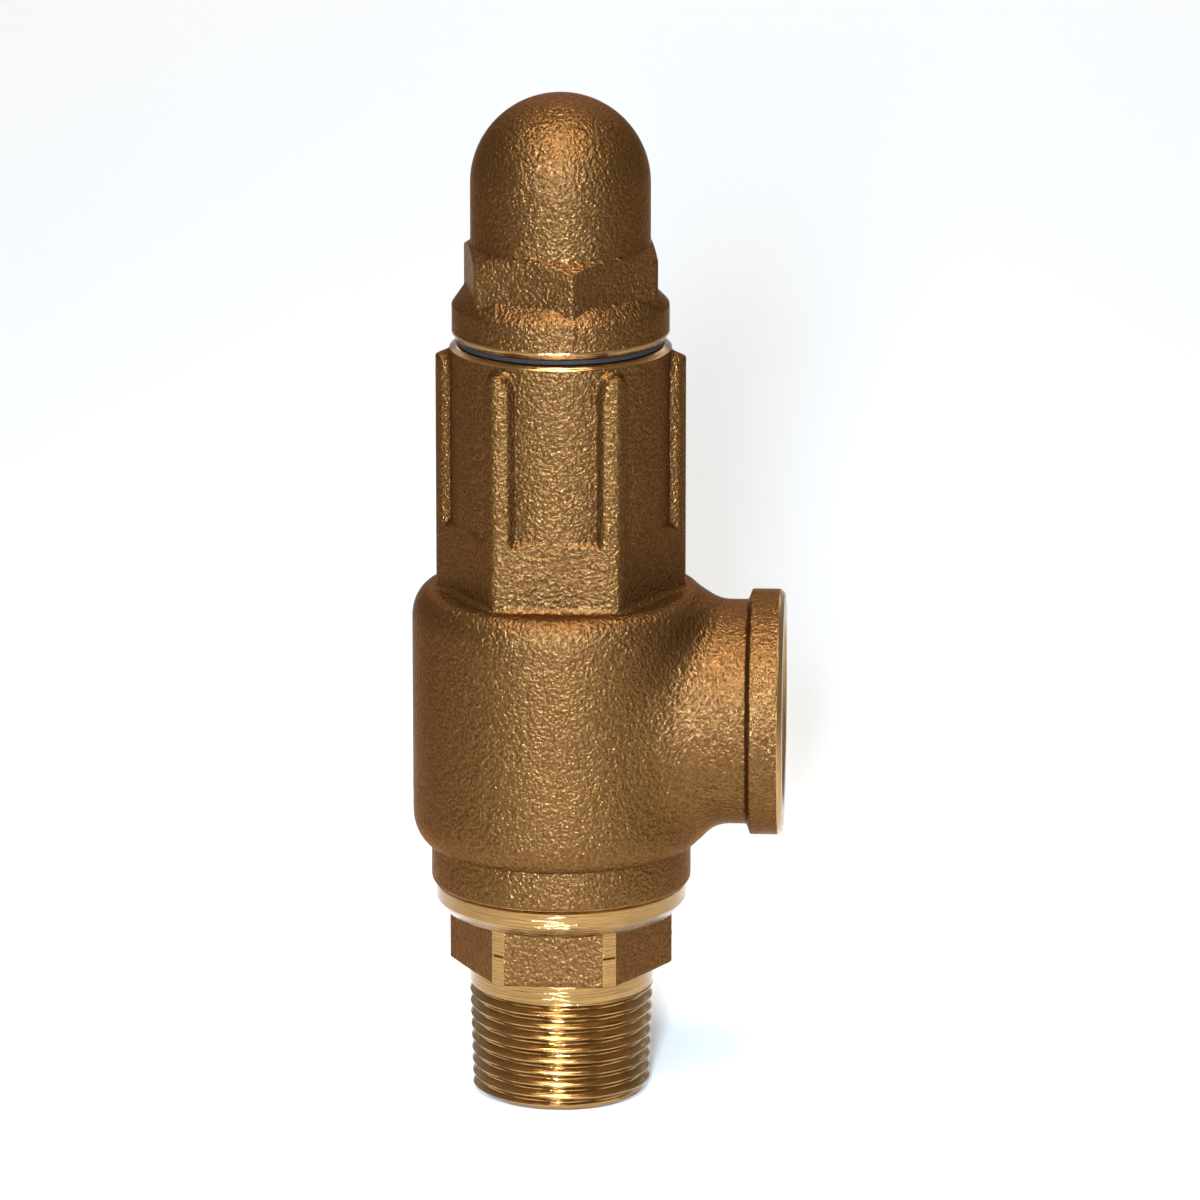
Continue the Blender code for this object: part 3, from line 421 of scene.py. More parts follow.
BRONZE = cast_bronze()
BRASS = turned_metal("machined_brass", (0.36, 0.21, 0.077), 0.12)
BRONZE_CUT = turned_metal("machined_bronze", (0.45, 0.255, 0.10), 0.14)
ACROSS_CUT = turned_metal("machined_outlet", (0.40, 0.23, 0.09), 0.25, stretch=(5200, 60, 60))
STEEL = turned_metal("stainless_steel", (0.56, 0.56, 0.55), 0.25, mottle=0.05)
SPRING_WIRE = turned_metal("spring_steel", (0.33, 0.34, 0.36), 0.32, stretch=(900, 900, 900), mottle=0.15)
SEAL = plain_solid("soft_seal", (0.80, 0.79, 0.75), 0.45, 900, 0.00002)
RUBBER = plain_solid("gasket_rubber", (0.012, 0.012, 0.012), 0.65, 1500, 0.00003)
GRAPHITE = plain_solid("gasket_graphite", (0.035, 0.035, 0.038), 0.5, 1200, 0.00003)


# ---------------------------------------------------------------- body casting


def hole_loop(top, bottom, left, right):
    """Rows and columns of the points round a hole, clockwise seen from outside, from its top left."""
    down = 1 if bottom > top else -1
    rows, columns = np.arange(top, bottom + down, down), np.arange(left, right + 1)
    along, upright = len(columns) - 1, len(rows) - 1
    row = [np.full(along, top), rows[:-1], np.full(along, bottom), rows[:0:-1]]
    column = [columns[:-1], np.full(upright, right), columns[:0:-1], np.full(upright, left)]
    return np.concatenate(row), np.concatenate(column)


def bonnet_rows(angles):
    """Ribbed bonnet and hexagonal foot, down to the shoulder.

    Between ribs the skin is a cylinder. A rib is the part of the hexagon within RIB_BAND of a corner; its
    tip is an oval, and it comes out of the cylinder over RIB_WALL of its width. The ledge below slopes out
    from the cylinder to the hexagon, so its edge hangs lower where it is wider. The foot ends in a hollow.
    """
    prism = hexagon(angles, BONNET_APOTHEM, 0, BONNET_EDGE)
    away = np.abs(from_corner(angles, 0))
    along_flat = BONNET_APOTHEM * (math.tan(math.pi / 6) - np.tan(np.radians(30 - away)))
    gap = np.maximum(prism - BONNET_R, 0)
    rows = []
    for z in np.concatenate([
        np.linspace(BONNET_TOP_Z - BONNET_CHAMFER, RIB_TOP_Z + 0.6, 3),
        np.linspace(RIB_TOP_Z + 0.3, RIB_TOP_Z - RIB_TIP - 0.8, 20),
        np.linspace(RIB_TOP_Z - RIB_TIP - 2.5, LEDGE_Z + 1.5, 10),
        [LEDGE_Z + 0.6, LEDGE_Z + 0.2],
    ]):
        tip = max(0.0, z - (RIB_TOP_Z - RIB_TIP)) / RIB_TIP
        reach = ((along_flat / RIB_BAND) ** 2.6 + tip**2.6) ** (1 / 2.6)
        raised = 1 - smooth((reach - 1 + RIB_WALL) / (2 * RIB_WALL))
        rows.append((BONNET_R + raised * gap, z))
    ribbed = rows[-1][0]
    left = np.maximum(prism - ribbed, 0)
    edge_z = LEDGE_Z - LEDGE_SLOPE * left
    for share in (0.0, 0.12, 0.5, 0.88, 1.0):
        out = ribbed + share * (np.minimum(prism, ribbed + left) - ribbed)
        rows.append((out, LEDGE_Z - LEDGE_SLOPE * share * left))
    hollow = np.clip(SHOULDER_R - prism, 0.35, FOOT_FILLET)
    foot = SHOULDER_Z + hollow
    for share in (0.03, 0.1, 0.35, 0.65, 0.9):
        rows.append((prism, edge_z + share * (foot - edge_z)))
    for turn in np.radians(np.linspace(0, 90, 7)):
        rows.append((prism + hollow * (1 - np.cos(turn)), foot - hollow * np.sin(turn)))
    return rows


def drum_outline():
    """Shoulder, drum and foot as (radius, height) points, and the rows that the hole lies between."""
    side_top, side_foot = SHOULDER_Z - SHOULDER_ROUND, DRUM_FOOT_Z + DRUM_FOOT_ROUND
    shoulder = arc(SHOULDER_R, side_top, DRUM_R - SHOULDER_R, SHOULDER_ROUND, SHOULDER_ROWS)
    side = [(DRUM_R, z) for z in np.linspace(side_top, side_foot, 16)[1:]]
    foot = arc(COLLAR_R, side_foot, DRUM_R - COLLAR_R, DRUM_FOOT_ROUND, DRUM_FOOT_ROWS)
    return shoulder + side + foot, 1, len(shoulder) + len(side) + len(foot) - 2


def distance_to_drum(r, z, outline):
    """Signed distance from points to the drum's outline, negative inside."""
    edge = np.array([(0.0, SHOULDER_Z)] + outline + [(COLLAR_R, DRUM_FOOT_Z), (COLLAR_R, BODY_FOOT_Z)])
    start, step = edge[:-1], np.diff(edge, axis=0)
    spots = np.stack([r, z], -1)[:, None, :]
    share = ((spots - start) * step).sum(-1) / (step**2).sum(-1)
    nearest = start + np.clip(share, 0, 1)[..., None] * step
    away = np.sqrt(((spots - nearest) ** 2).sum(-1)).min(1)
    inside = r < np.interp(z, edge[1:, 1][::-1], edge[1:, 0][::-1])
    return np.where(inside & (z < SHOULDER_Z), -away, away)


def blended(spots, outline):
    """Smooth union of drum and neck: the lesser of both distances, less a fillet where they are alike."""
    drum = distance_to_drum(np.hypot(spots[:, 0], spots[:, 1]), spots[:, 2], outline)
    neck = np.hypot(spots[:, 1], spots[:, 2] - OUTLET_Z) - NECK_TUBE_R
    above_foot = spots[:, 2] - DRUM_FOOT_Z + FILLET_PAST_FOOT
    below_shoulder = SHOULDER_Z - spots[:, 2] + FILLET_PAST_SHOULDER
    ease = np.clip(np.minimum(above_foot, below_shoulder), LEAST_FILLET, CAST_FILLET)
    mix = np.clip(0.5 + 0.5 * (neck - drum) / ease, 0, 1)
    return neck * (1 - mix) + drum * mix - ease * mix * (1 - mix)


def settled(spots, outline, rounds=10, step=1e-3):
    """Points moved along the field's slope onto the smooth union's surface, by Newton's rule."""
    for _ in range(rounds):
        value = blended(spots, outline)
        slope = np.stack([
            (blended(spots + step * side, outline) - blended(spots - step * side, outline)) / (2 * step)
            for side in np.eye(3)
        ], -1)
        spots = spots - (value / np.maximum((slope**2).sum(-1), 0.05))[:, None] * slope
    return spots


def ring_points(x, radius, phase):
    """Loops round the outlet's axis, at given places along it."""
    x, radius, phase = np.broadcast_arrays(x, radius, phase)
    return np.stack([x, radius * np.cos(phase), OUTLET_Z + radius * np.sin(phase)], -1)


def outer_rows(angles):
    """Rows down the outside, the number that are the neck's, and the rows the outlet's hole lies between."""
    neck = eased([
        (SCREW_BORE_R, NECK_TOP_Z), (NECK_R, NECK_TOP_Z), (NECK_R, BONNET_TOP_Z),
        (BONNET_R - BONNET_CHAMFER_INSET, BONNET_TOP_Z), (BONNET_R, BONNET_TOP_Z - BONNET_CHAMFER),
    ], 0.4)[:-1]
    bonnet = bonnet_rows(angles)
    drum, hole_top, hole_foot = drum_outline()
    crease = [(COLLAR_R - 0.02, DRUM_FOOT_Z + 0.06)]
    collar = eased([
        (COLLAR_R, DRUM_FOOT_Z - 0.15), (COLLAR_R, BODY_FOOT_Z), (GASKET_SEAT_R, BODY_FOOT_Z),
    ], COLLAR_EDGE, 5)[:-1]
    first = len(neck) + len(bonnet)
    return neck + bonnet + drum + crease + collar, len(neck), first + hole_top, first + hole_foot


def wall_radius(z):
    """Radius of the inner wall beside the outlet: lower bore, slope, chamber under the guide, slope."""
    heights = [LOWER_BORE_TOP_Z, LOWER_BORE_TOP_Z + CAVITY_FOOT_SLOPE]
    heights += [CAVITY_TOP_Z, CAVITY_TOP_Z + CAVITY_TOP_SLOPE]
    return np.interp(z, heights, [LOWER_BORE_R, CAVITY_R, CAVITY_R, GUIDE_SEAT_R])


def inner_rows(levels):
    """Rows back up the inside: those below the outlet's hole, those beside it, and those above."""
    shelf = BODY_FOOT_Z + GASKET_SEAT_DEPTH
    below = [(GASKET_SEAT_R, BODY_FOOT_Z), (GASKET_SEAT_R, shelf), (LOWER_BORE_R, shelf)]
    below += [(LOWER_BORE_R, LOWER_BORE_TOP_Z)]
    hole_z = np.linspace(OUTLET_Z - INNER_HOLE_REACH, OUTLET_Z + INNER_HOLE_REACH, levels + 1)
    beside = [(wall_radius(z), z) for z in hole_z]
    groove_top, groove_r = CIRCLIP_Z + 0.3, GUIDE_SEAT_R + CIRCLIP_GROOVE_DEPTH
    groove_foot = groove_top - CIRCLIP_GROOVE_HEIGHT
    above = [(GUIDE_SEAT_R, groove_foot), (groove_r, groove_foot), (groove_r, groove_top)]
    shoulder = GUIDE_TOP_Z + GUIDE_GAP
    above += [(GUIDE_SEAT_R, groove_top), (GUIDE_SEAT_R, shoulder), (CHAMBER_R, shoulder)]
    above += [(CHAMBER_R, ROOF_Z - ROOF_CHAMFER), (CHAMBER_R - ROOF_CHAMFER, ROOF_Z), (SCREW_BORE_R, ROOF_Z)]
    return below, beside, above


def outlet_rings(outer_loop, inner_loop):
    """Loops of points out along the outlet from the hole in the outer skin, and back in to the wall's hole.

    They run over the cast fillet, the neck and bead, the mouth, the thread and the plain bore, and then turn
    down the inner wall. The second value marks the rows between loops that are cut metal.
    """
    phase = np.unwrap(np.arctan2(outer_loop[:, 2] - OUTLET_Z, outer_loop[:, 1]))
    inner_phase = np.unwrap(np.arctan2(inner_loop[:, 2] - OUTLET_Z, inner_loop[:, 1]))
    inner_phase += TAU * np.round((phase[0] - inner_phase[0]) / TAU)

    share = np.linspace(0, 1, FILLET_ROWS + 2)[1:-1, None, None]
    chords = outer_loop * (1 - share) + ring_points(NECK_ROOT_X, NECK_TUBE_R, phase) * share
    fillet = settled(chords.reshape(-1, 3), drum_outline()[0]).reshape(chords.shape)
    bead_x = OUTLET_REACH - BEAD_WIDTH
    spout = eased([
        (NECK_ROOT_X, NECK_TUBE_R), (bead_x, NECK_TUBE_R), (bead_x + BEAD_SLOPE, BEAD_R),
        (OUTLET_REACH - OUTLET_CHAMFER, BEAD_R), (OUTLET_REACH, BEAD_R - OUTLET_CHAMFER),
        (OUTLET_REACH, OUTLET_MOUTH_R), (OUTLET_REACH - OUTLET_MOUTH_DEPTH, OUTLET_BORE_R),
    ], 0.3, 4)
    rings = [outer_loop[None], fillet] + [ring_points(x, r, phase)[None] for x, r in spout]

    depth = np.arange(OUTLET_REACH - OUTLET_MOUTH_DEPTH - 0.2, THREAD_END_X, -OUTLET_PITCH / 8)[:, None]
    fade = smooth((depth - THREAD_END_X) / 3)
    travel = (depth / OUTLET_PITCH + phase / TAU) % 1
    crest = OUTLET_BORE_R + OUTLET_THREAD_DEPTH * fade * np.abs(2 * travel - 1) * 1.2 - 0.1
    rings.append(ring_points(depth, crest, phase))

    bore_loop = ring_points(0, OUTLET_BORE_R, inner_phase)
    bore_loop[:, 0] = np.sqrt(wall_radius(bore_loop[:, 2]) ** 2 - bore_loop[:, 1] ** 2)
    for share in np.linspace(0.1, 1, 6):
        x = THREAD_END_X * (1 - share) + bore_loop[:, 0] * share
        rings.append(ring_points(x, OUTLET_BORE_R, phase * (1 - share) + inner_phase * share)[None])
    start_turn, end_turn = (np.arctan2(loop[:, 1], loop[:, 0]) for loop in (bore_loop, inner_loop))
    for share in np.linspace(0, 1, 6)[1:]:
        turn = start_turn * (1 - share) + end_turn * share
        z = bore_loop[:, 2] * (1 - share) + inner_loop[:, 2] * share
        r = wall_radius(z)
        rings.append(np.stack([r * np.cos(turn), r * np.sin(turn), z], -1)[None])

    points = np.concatenate(rings)
    marks = np.zeros(len(points) - 1, int)
    face_row = 1 + len(fillet) + len(spout) - OUTLET_CUT_ROWS
    marks[face_row: face_row + OUTLET_CUT_ROWS + len(depth)] = 2
    return points, marks


def make_body():
    """The one-piece body: outer skin, inner walls, and the outlet whose loops join a hole in each."""
    angles = corner_columns(0, BODY_COLUMNS)

    def column(degrees):
        """The column nearest to an angle."""
        return int(np.argmin(np.abs(np.degrees(angles) - degrees)))

    outer, neck_rows, top, foot = outer_rows(angles)
    left, right = column(-HOLE_HALF), column(HOLE_HALF)
    in_left, in_right = column(-INNER_HOLE_HALF), column(INNER_HOLE_HALF)
    levels = (right - left) + (foot - top) - (in_right - in_left)
    below, beside, above = inner_rows(levels)
    rows = outer + below + beside + above
    in_foot = len(outer) + len(below)
    in_top = in_foot + levels

    points = skin(rows, angles)
    corners = strips(len(rows), len(angles), True)
    keep = np.ones(corners.shape[:2], bool)
    keep[top:foot, left:right] = False
    keep[in_foot:in_top, in_left:in_right] = False
    cut = np.zeros(len(rows), int)
    cut[:neck_rows] = 1
    cut[len(outer) - 4:] = 1
    cut[in_foot: in_top + 1] = 0
    marks = np.broadcast_to(cut[:, None], keep.shape)

    outer_loop = points[hole_loop(top, foot, left, right)]
    inner_loop = points[hole_loop(in_top, in_foot, in_left, in_right)]
    outlet, outlet_cut = outlet_rings(outer_loop, inner_loop)
    outlet_corners = strips(*outlet.shape[:2])
    outlet_marks = np.broadcast_to(outlet_cut[:, None], outlet_corners.shape[:2]).ravel()
    parts = [(points, corners[keep], marks[keep]), (outlet, outlet_corners, outlet_marks)]
    return piece("body_casting", parts, [BRONZE, BRONZE_CUT, ACROSS_CUT], 42)


body = make_body()
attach(body, "valve")
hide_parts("body")


# ---------------------------------------------------------------- cap

CAP_FOOT_R = FLANGE_R - 0.71
CAP_BORE_R = NECK_R + 0.3
DOME_R = CAP_BORE_R + 3.35
DOME_Z = CAP_TOP_Z - DOME_R
FLANGE_TOP_Z = CAP_FOOT_Z + 6.0
CAP_APOTHEM = DOME_R + 0.36
CAP_TURN = 38.9
CAP_HEX_TOP_Z = FLANGE_TOP_Z + 11.1
CAP_HEX_Z = FLANGE_TOP_Z + 2.7
CAP_CHAMFER_SLOPE = 2.0 / 2.9  # fall of the hexagon's top for each millimetre outwards
CAP_EDGE = 0.8
CAP_HEX_FALL = 2.7  # how much lower the hexagon ends at its corners, where it runs out over the flange
CAP_HEX_OVERHANG = 2.26
CAP_COLUMNS = [0, 0.5, 1.1, 1.8, 2.8, 4.2, 6, 8.5, 11.5, 15, 18.8, 22.6, 26.3]
PARTING_RIDGE = 0.14
PARTING_TURN = -81.1


def make_cap():
    """Dome, hexagon whose top is cut by a cone, flange with a parting ridge, and the threaded inside."""
    angles = corner_columns(CAP_TURN, CAP_COLUMNS)
    prism = hexagon(angles, CAP_APOTHEM, CAP_TURN, CAP_EDGE)
    ridge = (np.degrees(angles) - PARTING_TURN + 90) % 180 - 90
    flange = FLANGE_R - PARTING_RIDGE + PARTING_RIDGE * np.exp(-((ridge / 0.9) ** 2))
    dome = [(0, CAP_TOP_Z)] + arc(0, DOME_Z, DOME_R, DOME_R, list(range(87, 0, -3)) + [0])
    rows = dome + [(DOME_R, z) for z in np.linspace(DOME_Z, CAP_HEX_TOP_Z + 0.6, 4)[1:]]
    rows += [(DOME_R + 0.05, CAP_HEX_TOP_Z + 0.2)]
    for share in (0.05, 0.25, 0.5, 0.75, 0.93):
        out = DOME_R + share * (prism - DOME_R)
        rows.append((out, CAP_HEX_TOP_Z - CAP_CHAMFER_SLOPE * (out - DOME_R)))
    edge = CAP_HEX_TOP_Z - CAP_CHAMFER_SLOPE * (prism - DOME_R)
    rows += [(prism - 0.03, edge - 0.02), (prism, edge - 0.22)]
    overhang = np.clip((prism - FLANGE_R + CAP_HEX_OVERHANG) / CAP_HEX_OVERHANG, 0, 1)
    foot = CAP_HEX_Z - CAP_HEX_FALL * overhang + 0.35
    rows += [(prism, edge + share * (foot - edge)) for share in (0.25, 0.5, 0.8, 0.97)]
    rows += [(prism + 0.06, foot - 0.18), (np.minimum(prism + 0.3, flange - 0.3), foot - 0.38)]
    rows += [(flange - 0.26, FLANGE_TOP_Z + 0.34), (flange - 0.05, FLANGE_TOP_Z + 0.08)]
    rows += [(flange, FLANGE_TOP_Z - 0.3)]
    rows += [(flange, z) for z in np.linspace(FLANGE_TOP_Z - 1.2, CAP_FOOT_Z + 1.4, 3)]
    rows += [(FLANGE_R - 0.06, CAP_FOOT_Z + 1.1), (CAP_FOOT_R + 0.08, CAP_FOOT_Z + 0.12)]
    rows += [(CAP_FOOT_R - 0.1, CAP_FOOT_Z)]
    cut_from = len(rows) - 4
    rows += [(CAP_BORE_R + 0.3, CAP_FOOT_Z), (CAP_BORE_R, CAP_FOOT_Z + 0.3)]
    rows += [(CAP_BORE_R, z) for z in np.linspace(CAP_FOOT_Z + 2, DOME_Z, 6)]
    cut_to = len(rows)
    rows += arc(0, DOME_Z, CAP_BORE_R, CAP_BORE_R, range(8, 90, 8)) + [(0, DOME_Z + CAP_BORE_R)]
    points = skin(rows, angles)
    corners = strips(len(rows), len(angles))
    marks = np.zeros(corners.shape[:2], int)
    marks[cut_from:cut_to] = 1
    return piece("dome_cap", [(points, corners, marks.ravel())], [BRONZE, BRONZE_CUT], 38)


cap = make_cap()
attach(cap, "cap")
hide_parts("cap")


# ---------------------------------------------------------------- inlet nozzle

RING_TOP_Z = BODY_FOOT_Z - 0.05
RING_FOOT_Z = 34.4
RING_LIP_Z = RING_FOOT_Z + 2.1
RING_LIP_R = RING_R - 1.8
NOZZLE_APOTHEM = 18.0
NOZZLE_TURN = -1.8
NOZZLE_LAND_R = 20.12
NOZZLE_GROOVE_Z, NOZZLE_GROOVE_DEPTH = 29.7, 0.25
HEX_FOOT_Z = 24.2
THREAD_TOP_Z = 20.1
THREAD_END_R = 16.05
INLET_BORE_R, INLET_BORE_TOP_Z = 11.5, 24.2
SEAT_BORE_R, SEAT_BORE_DEPTH = 9.0, 5.0
SEAT_LAND_R = 11.2
TUBE_R = 13.0
TUBE_FOOT_Z = 50.4
PILOT_R, PILOT_FOOT_Z = 18.18, 41.4
PILOT_CHAMFER = 0.8
RELIEF_R = 17.9
NOZZLE_COLUMNS = [0, 0.9, 1.8, 2.6, 3.1, 3.3, 3.7, 4.6, 6.2, 9, 12.5, 16, 19.5, 23, 26.5]


def make_nozzle():
    """Ring, hexagon with turned-down corners, tapered thread below, and tube with its seat above.

    The thread's radius is a taper plus a 60 degree ridge whose place along Z moves one pitch for each turn
    round the axis. The thread runs out into the plain band under the hexagon.
    """
    angles = corner_columns(NOZZLE_TURN, NOZZLE_COLUMNS)
    flat = hexagon(angles, NOZZLE_APOTHEM, NOZZLE_TURN, 0.01)
    prism = np.minimum(flat, NOZZLE_LAND_R)
    land = flat >= NOZZLE_LAND_R - 0.005
    tube = [(SEAT_BORE_R, SEAT_Z - SEAT_BORE_DEPTH), (SEAT_BORE_R, SEAT_Z - 0.15)]
    tube += [(SEAT_BORE_R + 0.15, SEAT_Z), (SEAT_LAND_R, SEAT_Z), (SEAT_LAND_R + 0.1, SEAT_Z - 0.12)]
    tube += [(TUBE_R, SEAT_Z - 1.6)]
    tube += [(TUBE_R, TUBE_FOOT_Z + 0.3), (TUBE_R + 0.2, TUBE_FOOT_Z), (17.4, TUBE_FOOT_Z)]
    tube += [(PILOT_R, TUBE_FOOT_Z - PILOT_CHAMFER), (PILOT_R, PILOT_FOOT_Z), (RELIEF_R, PILOT_FOOT_Z - 0.3)]
    tube += [(RELIEF_R, RING_TOP_Z - 0.25), (RING_R - 0.5, RING_TOP_Z - 0.25)]
    ring = [(RING_R - 0.3, RING_TOP_Z - 0.2), (RING_R, RING_TOP_Z - 0.5), (RING_R, RING_LIP_Z + 0.15)]
    ring += [(RING_R - 0.12, RING_LIP_Z), (RING_LIP_R + 0.1, RING_FOOT_Z + 0.12)]
    ring += [(RING_LIP_R - 0.2, RING_FOOT_Z)]
    rows = tube + ring + [(prism + 0.12, RING_FOOT_Z), (prism, RING_FOOT_Z - 0.12)]
    top = len(rows) - 1
    rows += [(prism, z) for z in (RING_FOOT_Z - 1.2, RING_FOOT_Z - 2.6)]
    rows += [(prism, z) for z in (NOZZLE_GROOVE_Z + 0.5, NOZZLE_GROOVE_Z + 0.22)]
    dip = np.where(land, NOZZLE_GROOVE_DEPTH, 0.0)
    rows += [(prism - dip, NOZZLE_GROOVE_Z), (prism, NOZZLE_GROOVE_Z - 0.22)]
    rows += [(prism, z) for z in (NOZZLE_GROOVE_Z - 0.5, 27.5, 25.6, HEX_FOOT_Z + 1.0, HEX_FOOT_Z + 0.35)]
    rows += [(prism - 0.12 - 0.25 * (prism - NOZZLE_APOTHEM) / 2.8, HEX_FOOT_Z + 0.05)]
    foot = len(rows) - 1
    crest = THREAD_END_R + THREAD_TOP_Z * NOZZLE_TAPER
    rows += [(crest + 0.1, HEX_FOOT_Z), (crest - 0.08, HEX_FOOT_Z - 0.15), (crest - 0.08, THREAD_TOP_Z + 1.4)]
    levels = np.arange(THREAD_TOP_Z + 1.1, 1.05, -NOZZLE_PITCH / 12)
    for z in levels:
        place = (z / NOZZLE_PITCH + angles / TAU) % 1
        depth = np.clip(1.25 * (1 - np.abs(2 * place - 1)) - 0.12, 0, 1.0) * THREAD_DEPTH
        fade = smooth((THREAD_TOP_Z + 1.1 - z) / 1.5)
        rows.append((THREAD_END_R + z * NOZZLE_TAPER - 0.08 - fade * depth, z))
    rows += [(THREAD_END_R - 1.0, 0.55), (THREAD_END_R - 0.95 - 0.5, 0.08), (THREAD_END_R - 1.6, 0.0)]
    rows += [(INLET_BORE_R + 0.4, 0), (INLET_BORE_R, 0.4), (INLET_BORE_R, INLET_BORE_TOP_Z)]
    points = skin(rows, angles)
    corners = strips(len(rows), len(angles), True)
    marks = np.ones(corners.shape[:2], int)
    on_flat = ~land & ~np.roll(land, -1)
    marks[top:foot] = np.where(on_flat, 0, 1)[None]
    return piece("inlet_nozzle_turned", [(points, corners, marks.ravel())], [BRONZE, BRASS], 32)


nozzle = make_nozzle()
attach(nozzle, "valve")
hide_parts("inlet_nozzle")


# ---------------------------------------------------------------- inner pieces


def placed(made, body, node_name):
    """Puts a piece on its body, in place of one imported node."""
    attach(made, body)
    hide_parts(node_name)


def ring_outline(inner, outer, foot, top, ease=0.2):
    """Closed outline of a flat ring, outer wall downwards first."""
    return eased([(outer, top), (outer, foot), (inner, foot), (inner, top)], ease, 3, True)


def make_split_ring(name, inner, outer, foot, top, mouth, finish, body, node_name):
    """A flat ring with a gap on its -Y side: a section swept round the rest, closed at both ends."""
    half = math.asin(mouth / 2 / outer)
    turn = np.linspace(-math.pi / 2 + half, 1.5 * math.pi - half, 97)
    edge = np.array(eased([(outer, top), (outer, foot), (inner, foot), (inner, top)], 0.1, 2, True))
    centre = np.broadcast_to(edge.mean(0), edge.shape)
    section = [(centre, turn[0])] + [(edge, t) for t in turn] + [(centre, turn[-1])]
    points = np.array([[(r * math.cos(t), r * math.sin(t), z) for r, z in shape] for shape, t in section])
    made = piece(name, [(points, strips(len(points), len(edge))[..., ::-1], 0)], [finish], 35)
    placed(made, body, node_name)


NUT_COLUMNS = [0, 0.6, 1.5, 3, 5, 8, 12, 16, 20, 25]
NUT_BORE_CHAMFER = 0.25


def make_nut(name, corner, foot, top, chamfer, bore, finish, body, node_name):
    """A hexagon whose corners are cut by cones, bored through."""
    angles = corner_columns(0.0, NUT_COLUMNS)
    apothem = corner * math.cos(math.pi / 6)
    prism = hexagon(angles, apothem, 0.0, 0.8)
    cone = np.minimum((prism - apothem) * 0.58 + 0.12, chamfer + 0.2)
    rows = [(bore + NUT_BORE_CHAMFER, top), (apothem - 0.25, top), (prism, top - cone)]
    rows += [(prism, (top + foot) / 2), (prism, foot + cone), (apothem - 0.25, foot)]
    rows += [(bore + NUT_BORE_CHAMFER, foot)]
    rows += [(bore, foot + NUT_BORE_CHAMFER), (bore, top - NUT_BORE_CHAMFER)]
    made = piece(name, [(skin(rows, angles), strips(len(rows), len(angles), True), 0)], [finish], 30)
    placed(made, body, node_name)


HUB_R, HUB_BORE_R, HUB_FOOT_Z = 8.0, 5.0, HOLDER_FOOT_Z + 8.5
POCKET_Z, POCKET_GAP = HOLDER_FOOT_Z + 2.5, 0.3
RIM_HEIGHT, HUB_CONE_HEIGHT = 4.4, 2.2
SEAL_SCREW_HOLE_R, SEAL_SCREW_HOLE_DEPTH = 2.6, 4.0
FOOT_RING_Z, FOOT_RING_GROOVE_R = SPINDLE_FOOT_Z + 2.7, 5.6
SPINDLE_R, SPINDLE_GROOVE_R = 3.0, 2.4
SPINDLE_FOOT_R, SPINDLE_FOOT_HEIGHT = 4.4, 2.4
SPINDLE_BORE_R = 3.3
CLIP_OUTER_R = 5.4
SEAL_HEAD_HEIGHT, SEAL_HEAD_CORNER_R, SEAL_SHANK_R = 3.5, 4.6, 2.3
PLATE_THICKNESS, PLATE_CHAMFER, PLATE_BOSS_GAP = 3.2, 1.2, 0.62
WIRE_COLUMNS = 20
SQUARE_HALF, SQUARE_CORNER_R, SQUARE_HEIGHT = 4.8, 6.4, 4.0
SCREW_PITCH, SCREW_THREAD_DEPTH = 1.5, 0.75
GUIDE_CLIP_INNER_R, GUIDE_CLIP_OUTER_R, GUIDE_CLIP_MOUTH = 14.7, 17.38, 11.0
SPRING_R = 10.79
WIRE_R = 1.68
SPRING_TURNS = 6
CLOSED_RISE = 2 * WIRE_R + 0.29


